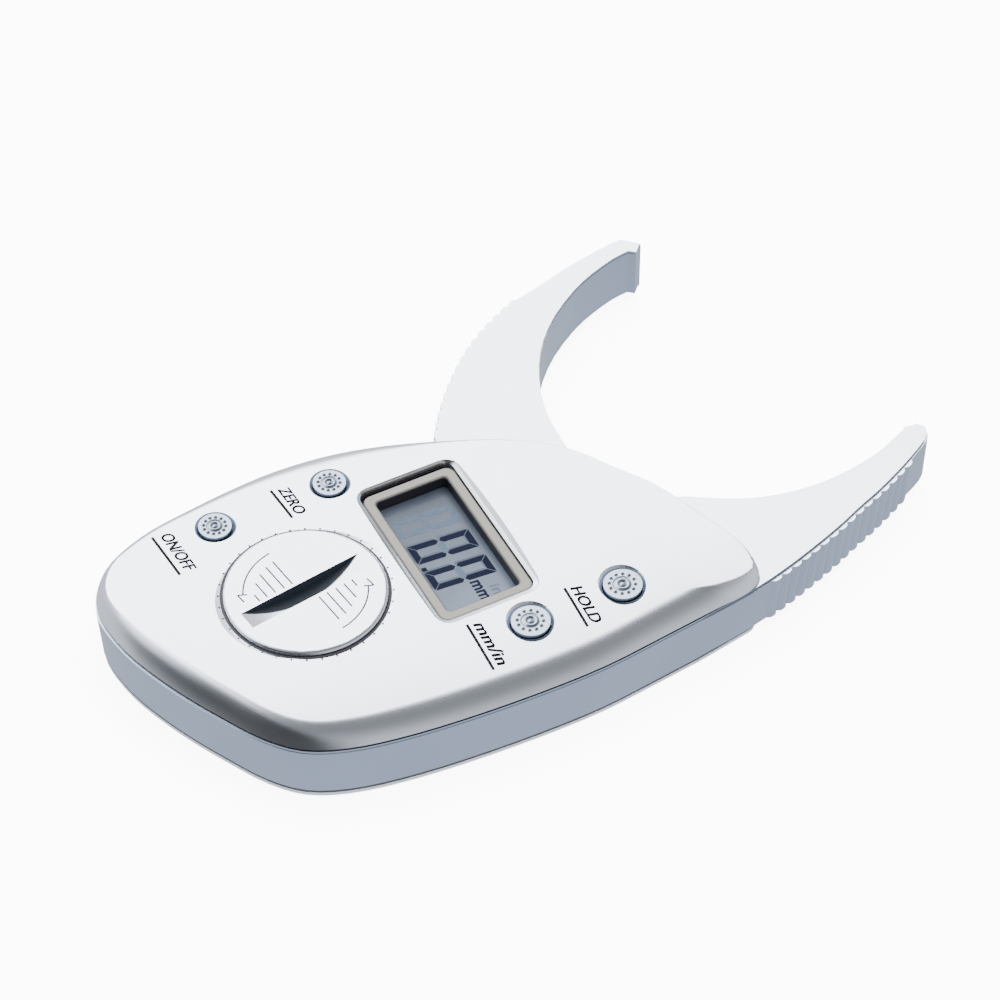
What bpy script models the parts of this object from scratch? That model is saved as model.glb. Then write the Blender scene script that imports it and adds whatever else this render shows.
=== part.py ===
"""Digital skinfold caliper, jaws open, lying on its underside.

Lengths are in metres. X runs the way the display reads, Y points to the jaws and Z up.
The origin is on the underside, on the axis that the moving jaw turns about.
"""

import math

import bmesh
import bpy
from mathutils import Matrix, Vector

# Body shell
BODY_WIDTH = 0.0632
BODY_LENGTH = 0.0977
BASE_HEIGHT = 0.0017
WALL_HEIGHT = 0.0102
COVER_RISE = 0.0043
SEAM = 0.0003
DOME_RADIUS = 0.255
BEVEL_WIDTH = 0.0050
COVER_WALL = 0.0018
SIDE_WALL = 0.0022
WALL_PROUD = 0.0002
EDGE_STEP = 0.0001
BASE_INSET = 0.0007
BASE_CHAMFER = 0.0005
OVERRUN = 0.0020

# Jaws
JAW_LENGTH = 0.0704
PAD_LENGTH = 0.0018
JAW_OPENING_DEG = 53.3
JAW_AXIS_DEG = 108.4
JAW_STEP = 0.0005
JAW_PROUD = 0.00025
RIB_DEPTH = 0.00055
JAW_DRAFT = 0.0006
WALL_DRAFT = 0.0004
RIB_PITCH = 0.00229
RIB_COUNT = 16
FIXED_RIB_START = 0.0122
MOVING_RIB_START = 0.0015
ARM_ROOT_RADIUS = 0.0150
ARM_ROOT_START_DEG = 118.0
ARM_ROOT_END_DEG = 196.0

# Hinge of the moving jaw
HUB_RADIUS = 0.0110
PIN_RADIUS = 0.0020
PIN_SEAT_DEPTH = 0.0019
PIN_NECK = 0.0005
PIN_TIP = 0.0005
PIN_BOSS_RADIUS = 0.0050
PIN_BOSS_HEIGHT = 0.0011
BORE_GAP = 0.00025
WASHER_THICKNESS = 0.0003
CLIP_THICKNESS = 0.0004
CLIP_RADIUS = 0.0036
CLIP_MOUTH_DEG = 70.0
SPRING_RADIUS = 0.0068
SPRING_WIRE = 0.0005
SPRING_PITCH = 0.0008
SPRING_TURNS = 0.95
SPRING_LEG = 0.0040

# Gear train and encoder
GEAR_MODULE = 0.0006
SECTOR_TEETH = 56
PINION_TEETH = 14
GEAR_THICKNESS = 0.0010
GEAR_BODY_RADIUS = 0.0090
TOOTH_SLACK_SHARE = 0.16
PRESSURE_DEG = 20.0
MESH_DEG = -75.0
AXLE_RADIUS = 0.0008
SLEEVE_RADIUS = 0.0018
DISC_RADIUS = 0.0068
DISC_THICKNESS = 0.0008
DISC_SLOTS = 18
DISC_SLOT_LENGTH = 0.0016
DISC_DROP = 0.0018
COLLAR_RADIUS = 0.0028
COLLAR_HEIGHT = 0.0004
SENSOR_WIDTH = 0.0060
SENSOR_DEPTH = 0.0050
SENSOR_ARM = 0.0010
SENSOR_REACH = 0.0017
AXLE_BOSS_RADIUS = 0.0022

# Circuit board
BOARD_DEPTH = 0.0065
BOARD_THICKNESS = 0.0010
BOARD_GAP = 0.0008
BOARD_EDGE_Y = -0.0064
BOARD_TAB_X = 0.0095
BOARD_TAB_Y = 0.0145
BOARD_CLEAR = 0.0006

# Display
DISPLAY_Y = -0.0135
POCKET_WIDTH = 0.519 * BODY_WIDTH
POCKET_DEPTH = 0.0183
POCKET_CORNER = 0.0024
POCKET_ROLL = 0.0006
BEZEL_SINK = 0.0012
BEZEL_GAP_X = 0.0012
BEZEL_GAP_Y = 0.0008
BEZEL_WIDTH = 0.0017
BEZEL_HEIGHT = 0.0012
BEZEL_CORNER = 0.0016
HOLDER_LIP = 0.0008
HOLDER_PLATE = 0.0007
HOLDER_WALL = 0.0008
GLASS_BORDER = 0.0012
GLASS_THICKNESS = 0.0014
STRIP_WIDTH = 0.0018

# Buttons
SMALL_CAP_RADIUS = 0.00275
LARGE_CAP_RADIUS = 0.0032
CAP_GAP = 0.0002
WELL_CHAMFER = 0.0005
CAP_CROWN = 0.0004
CAP_FLANGE = 0.0007
CAP_FLANGE_HEIGHT = 0.0003
CAP_PROUD = 0.0004
SWITCH_SIDE = 0.0045
SWITCH_HEIGHT = 0.0016
PLUNGER_RADIUS = 0.0010
PRESS_GAP = 0.00035

# Battery and its cover
BATTERY_Y = -0.0390
LID_RADIUS = 0.0134
LID_THICKNESS = 0.0026
LID_PROUD = 0.0005
LID_GAP = 0.0002
LID_CHAMFER_WIDTH = 0.0013
LID_CHAMFER_DEPTH = 0.00035
LID_EDGE = 0.0006
COIN_SLOT_LENGTH = 0.0226
COIN_SLOT_WIDTH = 0.0036
COIN_SLOT_DEPTH = 0.0021
COIN_SLOT_DEG = 97.6
CELL_RADIUS = 0.0100
CELL_THICKNESS = 0.0032
LID_SKIRT_WALL = 0.0006
LID_SKIRT_HEIGHT = 0.0027
LUG_LENGTH = 0.0015
LUG_HEIGHT = 0.0006
LUG_COUNT = 3
LUG_DEG = 20.0
LUG_TURN_DEG = 45.0
LEDGE_THICKNESS = 0.0008
WELL_WALL = 0.0015
SEAL_RADIUS = 0.0124
SEAL_THICKNESS = 0.0005
CONTACT_THICKNESS = 0.0003
CONTACT_WIDTH = 0.0040
CONTACT_REACH = 0.0080
CONTACT_HEIGHT = 0.0011

# Fasteners
BOSS_RADIUS = 0.0026
BOSS_LIFT = 0.0003
SCREW_RADIUS = 0.0010
SCREW_HEAD_RADIUS = 0.0021
SCREW_HEAD_HEIGHT = 0.0011
SCREW_LENGTH = 0.0075
SCREW_SINK = 0.0002
POST_RADIUS = 0.0018
BOARD_SCREW_RADIUS = 0.0008
BOARD_SCREW_HEAD_RADIUS = 0.0015
BOARD_SCREW_HEAD_HEIGHT = 0.0005
BOARD_SCREW_LENGTH = 0.0024
SCREW_GAP = 0.00025

# Facets of round pieces
ROUND = 32
SMALL_ROUND = 16
SPAN_STEPS = 3

# Heights
FRAME_BOTTOM = BASE_HEIGHT + SEAM
FRAME_TOP = FRAME_BOTTOM + WALL_HEIGHT
CREASE = FRAME_TOP + SEAM
FACE_TOP = CREASE + COVER_RISE
BOARD_TOP = FACE_TOP - BOARD_DEPTH
BOARD_BOTTOM = BOARD_TOP - BOARD_THICKNESS
GEAR_TOP = BOARD_BOTTOM - BOARD_CLEAR
GEAR_BOTTOM = GEAR_TOP - GEAR_THICKNESS
HUB_TOP = GEAR_BOTTOM - SEAM
PIN_BOSS_TOP = BASE_HEIGHT + PIN_BOSS_HEIGHT
WASHER_BOTTOM = PIN_BOSS_TOP + BORE_GAP
HUB_BOTTOM = WASHER_BOTTOM + WASHER_THICKNESS + BORE_GAP

# The body's outline at the foot of the bevel, anticlockwise from the right side: x as a share
# of BODY_WIDTH, y as a share of BODY_LENGTH, bevel as a share of BEVEL_WIDTH.
OUTLINE_SHARES = [
    (0.485, 0.205, 0.84),
    (0.480, 0.250, 0.62),
    (0.466, 0.283, 0.42),
    (0.433, 0.304, 0.26),
    (0.348, 0.301, 0.16),
    (0.210, 0.269, 0.16),
    (0.079, 0.235, 0.16),
    (-0.021, 0.194, 0.16),
    (-0.127, 0.153, 0.18),
    (-0.215, 0.101, 0.24),
    (-0.285, 0.041, 0.36),
    (-0.342, -0.020, 0.52),
    (-0.389, -0.078, 0.70),
    (-0.434, -0.149, 0.88),
    (-0.464, -0.228, 1.00),
    (-0.475, -0.317, 0.92),
    (-0.467, -0.399, 0.76),
    (-0.449, -0.481, 0.64),
    (-0.424, -0.568, 0.56),
    (-0.378, -0.641, 0.50),
    (-0.323, -0.684, 0.48),
    (-0.247, -0.708, 0.50),
    (-0.158, -0.709, 0.56),
    (-0.047, -0.695, 0.62),
    (0.095, -0.661, 0.64),
    (0.222, -0.621, 0.64),
    (0.332, -0.581, 0.66),
    (0.411, -0.534, 0.72),
    (0.459, -0.469, 0.78),
    (0.489, -0.384, 0.82),
    (0.509, -0.276, 0.84),
    (0.521, -0.143, 0.86),
    (0.521, -0.020, 0.86),
    (0.504, 0.092, 0.86),
]

# Loops of the domed face, outside and inside, as shares of the way out from its middle
OUTER_LOOP_SHARES = [0.75, 0.5, 0.25, 0.06]
INNER_LOOP_SHARES = [0.6, 0.06]

# Where the side wall opens for the moving jaw, and where the fixed jaw grows from it
MOUTH_LEFT = 12 * SPAN_STEPS - 1
MOUTH_RIGHT = 6 * SPAN_STEPS - 1
JAW_ROOT = 34 * SPAN_STEPS - 1

# A jaw's edges as shares of JAW_LENGTH, (along, out) from the line halfway between the jaws.
FIXED_INNER_SHARES = [
    (0.866, 0.441),
    (0.829, 0.443),
    (0.780, 0.446),
    (0.739, 0.443),
    (0.665, 0.432),
    (0.599, 0.413),
    (0.543, 0.389),
    (0.490, 0.359),
    (0.444, 0.324),
    (0.404, 0.285),
    (0.367, 0.242),
    (0.337, 0.205),
    (0.302, 0.180),
]
MOVING_INNER_SHARES = [
    (0.861, 0.454),
    (0.814, 0.463),
    (0.740, 0.464),
    (0.667, 0.456),
    (0.568, 0.429),
    (0.484, 0.389),
    (0.418, 0.341),
    (0.358, 0.278),
    (0.310, 0.207),
    (0.280, 0.140),
    (0.261, 0.092),
]
OUTER_EDGE_SHARES = [
    (0.511, 0.534),
    (0.603, 0.529),
    (0.680, 0.526),
    (0.762, 0.518),
    (0.829, 0.508),
    (0.876, 0.498),
    (0.903, 0.483),
    (0.908, 0.465),
    (0.901, 0.450),
]
FIXED_OUTER_START_SHARES = [(0.118, 0.500), (0.244, 0.523), (0.372, 0.533)]
MOVING_OUTER_START_SHARES = [(0.057, 0.334), (0.149, 0.402), (0.256, 0.463), (0.376, 0.510)]

# Places of screws as shares of BODY_WIDTH and BODY_LENGTH
SCREW_PLACE_SHARES = [(-0.285, -0.592), (0.309, -0.491), (0.396, 0.162), (-0.332, -0.148)]
BOARD_SCREW_PLACE_SHARES = [(-0.288, -0.358), (0.309, -0.358), (0.229, 0.092)]


def clear_scene():
    for old in list(bpy.data.objects):
        bpy.data.objects.remove(old)


def make_material(name, colour, roughness, metallic=0.0):
    material = bpy.data.materials.new(name)
    material.use_nodes = True
    shader = material.node_tree.nodes["Principled BSDF"]
    shader.inputs["Base Color"].default_value = (*colour, 1.0)
    shader.inputs["Roughness"].default_value = roughness
    shader.inputs["Metallic"].default_value = metallic
    return material


def spline(points, steps, closed=False):
    """Points on a smooth curve through the given ones."""
    count = len(points)
    last = count - 1
    spans = count if closed else last
    found = []
    for span in range(spans):
        near = [span - 1, span, span + 1, span + 2]
        near = [i % count if closed else min(max(i, 0), last) for i in near]
        a, b, c, d = (Vector(points[i]) for i in near)
        for step in range(steps):
            t = step / steps
            found.append(
                (2 * b + (c - a) * t + (2 * a - 5 * b + 4 * c - d) * t**2 + (3 * b - a - 3 * c + d) * t**3) / 2
            )
    if not closed:
        found.append(Vector(points[-1]))
    return found


def outward(path):
    """The direction out of a closed anticlockwise path at each of its points."""
    found = []
    for i in range(len(path)):
        along = path[(i + 1) % len(path)].xy - path[i - 1].xy
        found.append(Vector((along.y, -along.x)).normalized())
    return found


def moved_out(path, distances):
    """The path's points moved out by a distance each."""
    return [p.xy + n * d for p, n, d in zip(path, outward(path), distances)]


def drawn_in(path, distances):
    """The path's points drawn in towards its middle, by a distance each that is square to the path."""
    middle = sum((p.xy for p in path), Vector((0, 0))) / len(path)
    found = []
    for p, n, d in zip(path, outward(path), distances):
        ray = (p.xy - middle).normalized()
        found.append(p.xy - ray * d / ray.dot(n))
    return found


def at_height(path, height):
    return [Vector((p.x, p.y, height)) for p in path]


def circle(radius, height, sides=ROUND, centre=(0, 0)):
    turns = [2 * math.pi * i / sides for i in range(sides)]
    return [
        Vector((centre[0] + radius * math.cos(a), centre[1] + radius * math.sin(a), height)) for a in turns
    ]


def rounded_box(width, depth, corner, height, centre=(0, 0), steps=4):
    """A rounded rectangle at one height."""
    found = []
    for quarter, (sx, sy) in enumerate([(1, 1), (-1, 1), (-1, -1), (1, -1)]):
        x = centre[0] + sx * (width / 2 - corner)
        y = centre[1] + sy * (depth / 2 - corner)
        for step in range(steps + 1):
            a = math.radians(90 * (quarter + step / steps))
            found.append(Vector((x + corner * math.cos(a), y + corner * math.sin(a), height)))
    return found


def polar(radius, degrees):
    return Vector((radius * math.cos(math.radians(degrees)), radius * math.sin(math.radians(degrees))))


def skin(loops, capped=True):
    """A shape skinned over loops of equally many points. Without caps its last loop joins its first."""
    count = len(loops[0])
    points = [p for loop in loops for p in loop]
    rows = list(range(len(loops)))
    pairs = list(zip(rows, rows[1:])) + ([] if capped else [(rows[-1], 0)])
    faces = []
    for low, high in pairs:
        for i in range(count):
            j = (i + 1) % count
            faces.append((low * count + i, low * count + j, high * count + j, high * count + i))
    if capped:
        faces.append(tuple(range(count)))
        faces.append(tuple(range(rows[-1] * count, len(points))))
    return points, faces


def turned(profile, sides=ROUND, centre=(0, 0), bored=False):
    """A shape turned about an upright axis from (radius, height) pairs."""
    return skin([circle(r, z, sides, centre) for r, z in profile], capped=not bored)


def prism(path, bottom, top):
    return skin([at_height(path, bottom), at_height(path, top)])


def tube(path, radius, sides=6):
    """A round wire along a path that never runs upright."""
    loops = []
    for i, point in enumerate(path):
        along = (path[min(i + 1, len(path) - 1)] - path[max(i - 1, 0)]).normalized()
        side = along.cross(Vector((0, 0, 1))).normalized()
        rise = side.cross(along)
        turns = [2 * math.pi * k / sides for k in range(sides)]
        loops.append([point + (side * math.cos(a) + rise * math.sin(a)) * radius for a in turns])
    return skin(loops)


def block(width, depth, bottom, top, centre=(0, 0), turn_deg=0.0):
    """A plain block, turned about its own upright axis."""
    turn = Matrix.Rotation(math.radians(turn_deg), 2)
    corners = [(1, 1), (-1, 1), (-1, -1), (1, -1)]
    path = [Vector(centre) + turn @ Vector((sx * width / 2, sy * depth / 2)) for sx, sy in corners]
    return prism(path, bottom, top)


def add(name, shapes, material, parent=None, smooth_deg=35.0):
    """One object from one or more shapes, with its faces pointing out."""
    builder = bmesh.new()
    for points, faces in shapes:
        corners = [builder.verts.new(p) for p in points]
        for face in faces:
            builder.faces.new([corners[i] for i in face])
    bmesh.ops.recalc_face_normals(builder, faces=builder.faces)
    mesh = bpy.data.meshes.new(name)
    builder.to_mesh(mesh)
    builder.free()
    mesh.shade_smooth()
    mesh.set_sharp_from_angle(angle=math.radians(smooth_deg))
    made = bpy.data.objects.new(name, mesh)
    bpy.context.scene.collection.objects.link(made)
    if material:
        mesh.materials.append(material)
    made.parent = parent
    return made


def combine(body, name, shapes, operation):
    """Joins shapes to a body or cuts them from it, with a hidden helper object."""
    helper = add(name, shapes, None, body.parent)
    helper.hide_render = True
    helper.display_type = "WIRE"
    step = body.modifiers.new(name, "BOOLEAN")
    step.operation = operation
    step.object = helper
    return body


def cut(body, name, *shapes):
    return combine(body, name, shapes, "DIFFERENCE")


def join(body, name, *shapes):
    return combine(body, name, shapes, "UNION")


def pivot(name, x, y, height=0.0):
    """An empty on a joint's axis, which carries the pieces that move with it."""
    made = bpy.data.objects.new(name, None)
    made.empty_display_size = PIN_RADIUS
    made.location = (x, y, height)
    bpy.context.scene.collection.objects.link(made)
    return made


def body_outline():
    """The outline at the foot of the bevel, as (x, y, bevel width) points."""
    points = [(x * BODY_WIDTH, y * BODY_LENGTH, b * BEVEL_WIDTH) for x, y, b in OUTLINE_SHARES]
    return spline(points, SPAN_STEPS, closed=True)


def dome_height(x):
    """The height of the domed face, which curves across the body."""
    return FACE_TOP - (DOME_RADIUS - math.sqrt(DOME_RADIUS**2 - x**2))


def place(shares):
    return (shares[0] * BODY_WIDTH, shares[1] * BODY_LENGTH)


SCREW_PLACES = [place(s) for s in SCREW_PLACE_SHARES]
BOARD_SCREW_PLACES = [place(s) for s in BOARD_SCREW_PLACE_SHARES]


def cover_surface(outline, inset, drop, roll_steps, flat_shares):
    """Loops up the bevel and in over the dome, inset sideways and dropped from the outer face."""
    roll_end = math.radians(60)
    centre = sum((p.xy for p in outline), Vector((0, 0))) / len(outline)
    loops = []
    for step in range(roll_steps + 1):
        a = roll_end * (1 - step / roll_steps)
        across = 1 - math.sin(a) / math.sin(roll_end)
        up = 1 - (1 - math.cos(a)) / (1 - math.cos(roll_end))
        path = drawn_in(outline, [inset + across * p.z for p in outline])
        foot = CREASE + drop / 2
        face = [max(dome_height(p.x) - drop, foot) for p in path]
        loops.append([Vector((p.x, p.y, foot + (z - foot) * up)) for p, z in zip(path, face)])
    for share in flat_shares:
        flat = [centre + (p.xy - centre) * share for p in loops[roll_steps]]
        loops.append([Vector((p.x, p.y, dome_height(p.x) - drop)) for p in flat])
    return loops


def jaw_point(along, out, side):
    """A point of a jaw from shares of its reach; side is 1 for the fixed jaw and -1 for the moving one."""
    axis = polar(JAW_LENGTH, JAW_AXIS_DEG)
    across = polar(JAW_LENGTH, JAW_AXIS_DEG - 90)
    return axis * along + across * out * side


def jaw_edges(side, outer_start, inner_shares, rib_start):
    """A jaw's outer edge, tip, pad and inner edge.

    Each entry is (point, how far the side stands proud of the top, how far it draws in below).
    """
    outer = [jaw_point(a, b, side) for a, b in outer_start + OUTER_EDGE_SHARES]
    outer = [Vector((p.x, p.y, 0)) for p in outer]
    fine = spline(outer, 24)
    marks = [0.0]
    for first, second in zip(fine, fine[1:]):
        marks.append(marks[-1] + (second - first).length)

    def along_edge(distance):
        for i, mark in enumerate(marks[1:]):
            if mark >= distance:
                share = (distance - marks[i]) / (mark - marks[i])
                return fine[i].lerp(fine[i + 1], share)
        return fine[-1]

    ribbed = RIB_PITCH * RIB_COUNT
    found = []
    plain_steps = 3
    for step in range(plain_steps):
        found.append((along_edge(rib_start * step / plain_steps), JAW_PROUD, JAW_DRAFT))
    for rib in range(RIB_COUNT):
        for quarter, rise in enumerate((0.0, 0.85, 1.0, 0.85)):
            spot = rib_start + RIB_PITCH * (rib + quarter / 4)
            found.append((along_edge(spot), JAW_PROUD + RIB_DEPTH * rise, JAW_DRAFT))
    rest = marks[-1] - rib_start - ribbed
    tip_steps = 6
    for step in range(tip_steps + 1):
        spot = rib_start + ribbed + rest * step / tip_steps
        found.append((along_edge(spot), JAW_PROUD, JAW_DRAFT * (1 - step / tip_steps)))
    pad_deg = JAW_AXIS_DEG - side * JAW_OPENING_DEG / 2
    found.append((polar(JAW_LENGTH, pad_deg), EDGE_STEP, 0))
    found.append((polar(JAW_LENGTH - PAD_LENGTH, pad_deg), EDGE_STEP, 0))
    inner = [jaw_point(a, b, side) for a, b in inner_shares]
    inner = [Vector((p.x, p.y, 0)) for p in inner]
    found.extend((p, EDGE_STEP, 0) for p in spline(inner, 2))
    return found


def jaw_solid(marked, bottom, top):
    """A jaw's plate: its sides stand proud of its top, with a step between them."""
    path = [Vector((p.x, p.y)) for p, proud, draft in marked]
    wide = moved_out(path, [proud for point, proud, draft in marked])
    foot = moved_out(path, [proud - EDGE_STEP - draft for point, proud, draft in marked])
    return skin(
        [
            at_height(foot, bottom),
            at_height(wide, top - JAW_STEP),
            at_height(path, top - JAW_STEP),
            at_height(path, top),
        ]
    )


def make_frame(material):
    """The side wall and the fixed jaw, moulded as one open ring."""
    outline = body_outline()
    count = len(outline)
    lip = moved_out(outline, [WALL_PROUD - EDGE_STEP] * count)
    inside = drawn_in(outline, [SIDE_WALL] * count)
    marked = [(lip[i], EDGE_STEP, WALL_DRAFT) for i in range(MOUTH_LEFT, JAW_ROOT + 1)]
    marked += jaw_edges(1, FIXED_OUTER_START_SHARES, FIXED_INNER_SHARES, FIXED_RIB_START)
    back = list(range(MOUTH_RIGHT, -1, -1)) + list(range(count - 1, MOUTH_LEFT - 1, -1))
    marked += [(inside[i], EDGE_STEP, 0) for i in back]
    return add("frame", [jaw_solid(marked, FRAME_BOTTOM, FRAME_TOP)], material)


def make_top_cover(material):
    """The domed cover, hollow below, with its windows, wells, bosses and the battery well."""
    outline = body_outline()
    outer = cover_surface(outline, 0, 0, 5, OUTER_LOOP_SHARES)
    inner = cover_surface(outline, COVER_WALL, COVER_WALL, 2, INNER_LOOP_SHARES)
    rim = at_height(drawn_in(outline, [COVER_WALL] * len(outline)), CREASE)
    cover = add("top_cover", [skin(outer[::-1] + [rim] + inner)], material)
    well_outer = LID_RADIUS + LID_GAP + WELL_WALL
    ledge_inner = CELL_RADIUS + BORE_GAP + LID_SKIRT_WALL + BORE_GAP
    roof = FACE_TOP - COVER_WALL
    ledge_top = FACE_TOP + LID_PROUD - LID_THICKNESS - 2 * BORE_GAP - SEAL_THICKNESS
    ledge_bottom = ledge_top - LEDGE_THICKNESS
    centre = (0, BATTERY_Y)
    into_roof = COVER_WALL / 3
    well = turned(
        [(well_outer, ledge_bottom), (well_outer, roof + into_roof)],
        centre=centre,
    )
    bosses = []
    for spot in SCREW_PLACES:
        top = dome_height(abs(spot[0]) + BOSS_RADIUS) - COVER_WALL + into_roof
        bosses.append(
            turned([(BOSS_RADIUS, BASE_HEIGHT + BOSS_LIFT), (BOSS_RADIUS, top)], SMALL_ROUND, spot)
        )
    for spot in BOARD_SCREW_PLACES:
        top = dome_height(abs(spot[0]) + POST_RADIUS) - COVER_WALL + into_roof
        bosses.append(turned([(POST_RADIUS, BOARD_TOP + SEAM), (POST_RADIUS, top)], SMALL_ROUND, spot))
    join(cover, "battery_well", well)
    join(cover, "cover_bosses", *bosses)
    lid_hole = LID_RADIUS + LID_GAP
    rim_slope = LID_CHAMFER_DEPTH / LID_CHAMFER_WIDTH
    above = lid_hole + LID_CHAMFER_WIDTH + OVERRUN
    lid_bore = turned(
        [
            (ledge_inner, ledge_bottom - OVERRUN),
            (ledge_inner, ledge_top),
            (lid_hole, ledge_top),
            (lid_hole, FACE_TOP - LID_CHAMFER_DEPTH),
            (above, FACE_TOP + OVERRUN * rim_slope),
            (above, FACE_TOP + OVERRUN),
        ],
        2 * ROUND,
        centre,
    )
    cut(cover, "battery_opening", lid_bore)
    slots = []
    for lug in range(LUG_COUNT):
        turn = COIN_SLOT_DEG + LUG_TURN_DEG + 360 * lug / LUG_COUNT
        spot = Vector(centre) + polar(ledge_inner + LUG_LENGTH / 2, turn)
        across = 2 * (ledge_inner + LUG_LENGTH) * math.sin(math.radians(LUG_DEG / 2)) + 2 * BORE_GAP
        slots.append(
            block(
                LUG_LENGTH + 2 * BORE_GAP,
                across,
                ledge_bottom - SEAM,
                ledge_top + SEAM,
                spot,
                turn,
            )
        )
    cut(cover, "lug_slots", *slots)
    centre = (0, DISPLAY_Y)
    wide = OVERRUN
    pocket = skin(
        [
            rounded_box(POCKET_WIDTH, POCKET_DEPTH, POCKET_CORNER, BOARD_TOP, centre),
            rounded_box(POCKET_WIDTH, POCKET_DEPTH, POCKET_CORNER, FACE_TOP - POCKET_ROLL, centre),
            rounded_box(
                POCKET_WIDTH + 2 * (POCKET_ROLL + wide),
                POCKET_DEPTH + 2 * (POCKET_ROLL + wide),
                POCKET_CORNER + POCKET_ROLL + wide,
                FACE_TOP + wide,
                centre,
            ),
        ]
    )
    wells = []
    for name, x, y, radius in BUTTONS:
        hole = radius + CAP_GAP
        face = dome_height(x)
        wells.append(
            turned(
                [
                    (hole, BOARD_TOP),
                    (hole, face - WELL_CHAMFER),
                    (hole + WELL_CHAMFER + wide, face + wide),
                ],
                ROUND,
                (x, y),
            )
        )
    cut(cover, "display_pocket", pocket)
    cut(cover, "button_wells", *wells)
    pilots = []
    for spot in SCREW_PLACES:
        hole = SCREW_RADIUS + SCREW_GAP
        pilots.append(turned([(hole, 0), (hole, SCREW_LENGTH + 2 * SCREW_SINK + SEAM)], SMALL_ROUND, spot))
    for spot in BOARD_SCREW_PLACES:
        hole = BOARD_SCREW_RADIUS + SCREW_GAP
        top = BOARD_BOTTOM + BOARD_SCREW_LENGTH + SEAM
        pilots.append(turned([(hole, BOARD_BOTTOM), (hole, top)], SMALL_ROUND, spot))
    cut(cover, "pilot_holes", *pilots)
    return cover


def make_bottom_cover(material):
    """The flat base with the bosses of both axles and countersunk screw holes."""
    outline = body_outline()
    count = len(outline)
    edge = moved_out(outline, [WALL_PROUD - BASE_INSET] * count)
    foot = moved_out(outline, [WALL_PROUD - BASE_INSET - BASE_CHAMFER] * count)
    base = add(
        "bottom_cover",
        [
            skin(
                [
                    at_height(foot, 0),
                    at_height(edge, BASE_CHAMFER),
                    at_height(edge, BASE_HEIGHT),
                ]
            )
        ],
        material,
    )
    axle = encoder_place()
    into_base = BASE_HEIGHT / 2
    join(
        base,
        "axle_bosses",
        turned([(PIN_BOSS_RADIUS, into_base), (PIN_BOSS_RADIUS, PIN_BOSS_TOP)]),
        turned([(AXLE_BOSS_RADIUS, into_base), (AXLE_BOSS_RADIUS, collar_bottom() - SEAM)], SMALL_ROUND, axle),
    )
    pin_hole = PIN_RADIUS + BORE_GAP
    axle_hole = AXLE_RADIUS + BORE_GAP
    seat = PIN_BOSS_TOP - PIN_SEAT_DEPTH
    holes = [
        turned([(pin_hole, seat), (pin_hole, PIN_BOSS_TOP + OVERRUN)], SMALL_ROUND),
        turned([(axle_hole, seat), (axle_hole, collar_bottom() + OVERRUN)], SMALL_ROUND, axle),
    ]
    hole = SCREW_RADIUS + SCREW_GAP
    head = SCREW_HEAD_RADIUS + SCREW_GAP
    for spot in SCREW_PLACES:
        holes.append(
            turned(
                [
                    (head, -OVERRUN),
                    (head, SCREW_SINK),
                    (hole, SCREW_SINK + SCREW_HEAD_HEIGHT),
                    (hole, BASE_HEIGHT + OVERRUN),
                ],
                SMALL_ROUND,
                spot,
            )
        )
    cut(base, "base_holes", *holes)
    return base


def make_moving_jaw(material, parent):
    """The moving jaw: a full-height arm on a thin hub that turns under the board."""
    marked = jaw_edges(-1, MOVING_OUTER_START_SHARES, MOVING_INNER_SHARES, MOVING_RIB_START)
    root_steps = 8
    sweep = ARM_ROOT_END_DEG - ARM_ROOT_START_DEG
    for step in range(root_steps + 1):
        turn = ARM_ROOT_START_DEG + sweep * step / root_steps
        marked.append((polar(ARM_ROOT_RADIUS, turn), EDGE_STEP, 0))
    marked.reverse()
    jaw = add("moving_jaw", [jaw_solid(marked, FRAME_BOTTOM, FRAME_TOP)], material, parent)
    web_out = ARM_ROOT_RADIUS + OVERRUN
    web = [polar(web_out, ARM_ROOT_START_DEG + sweep * (0.06 + 0.88 * i / root_steps)) for i in range(root_steps + 1)]
    turns = [ARM_ROOT_END_DEG + (360 - sweep) * i / (2 * root_steps) for i in range(1, 2 * root_steps)]
    rim = [polar(HUB_RADIUS, turn) for turn in turns]
    join(jaw, "jaw_hub", prism(web + rim, HUB_BOTTOM, HUB_TOP))
    bore = PIN_RADIUS + BORE_GAP
    cut(jaw, "jaw_bore", turned([(bore, 0), (bore, FACE_TOP)], SMALL_ROUND))
    return jaw


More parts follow.
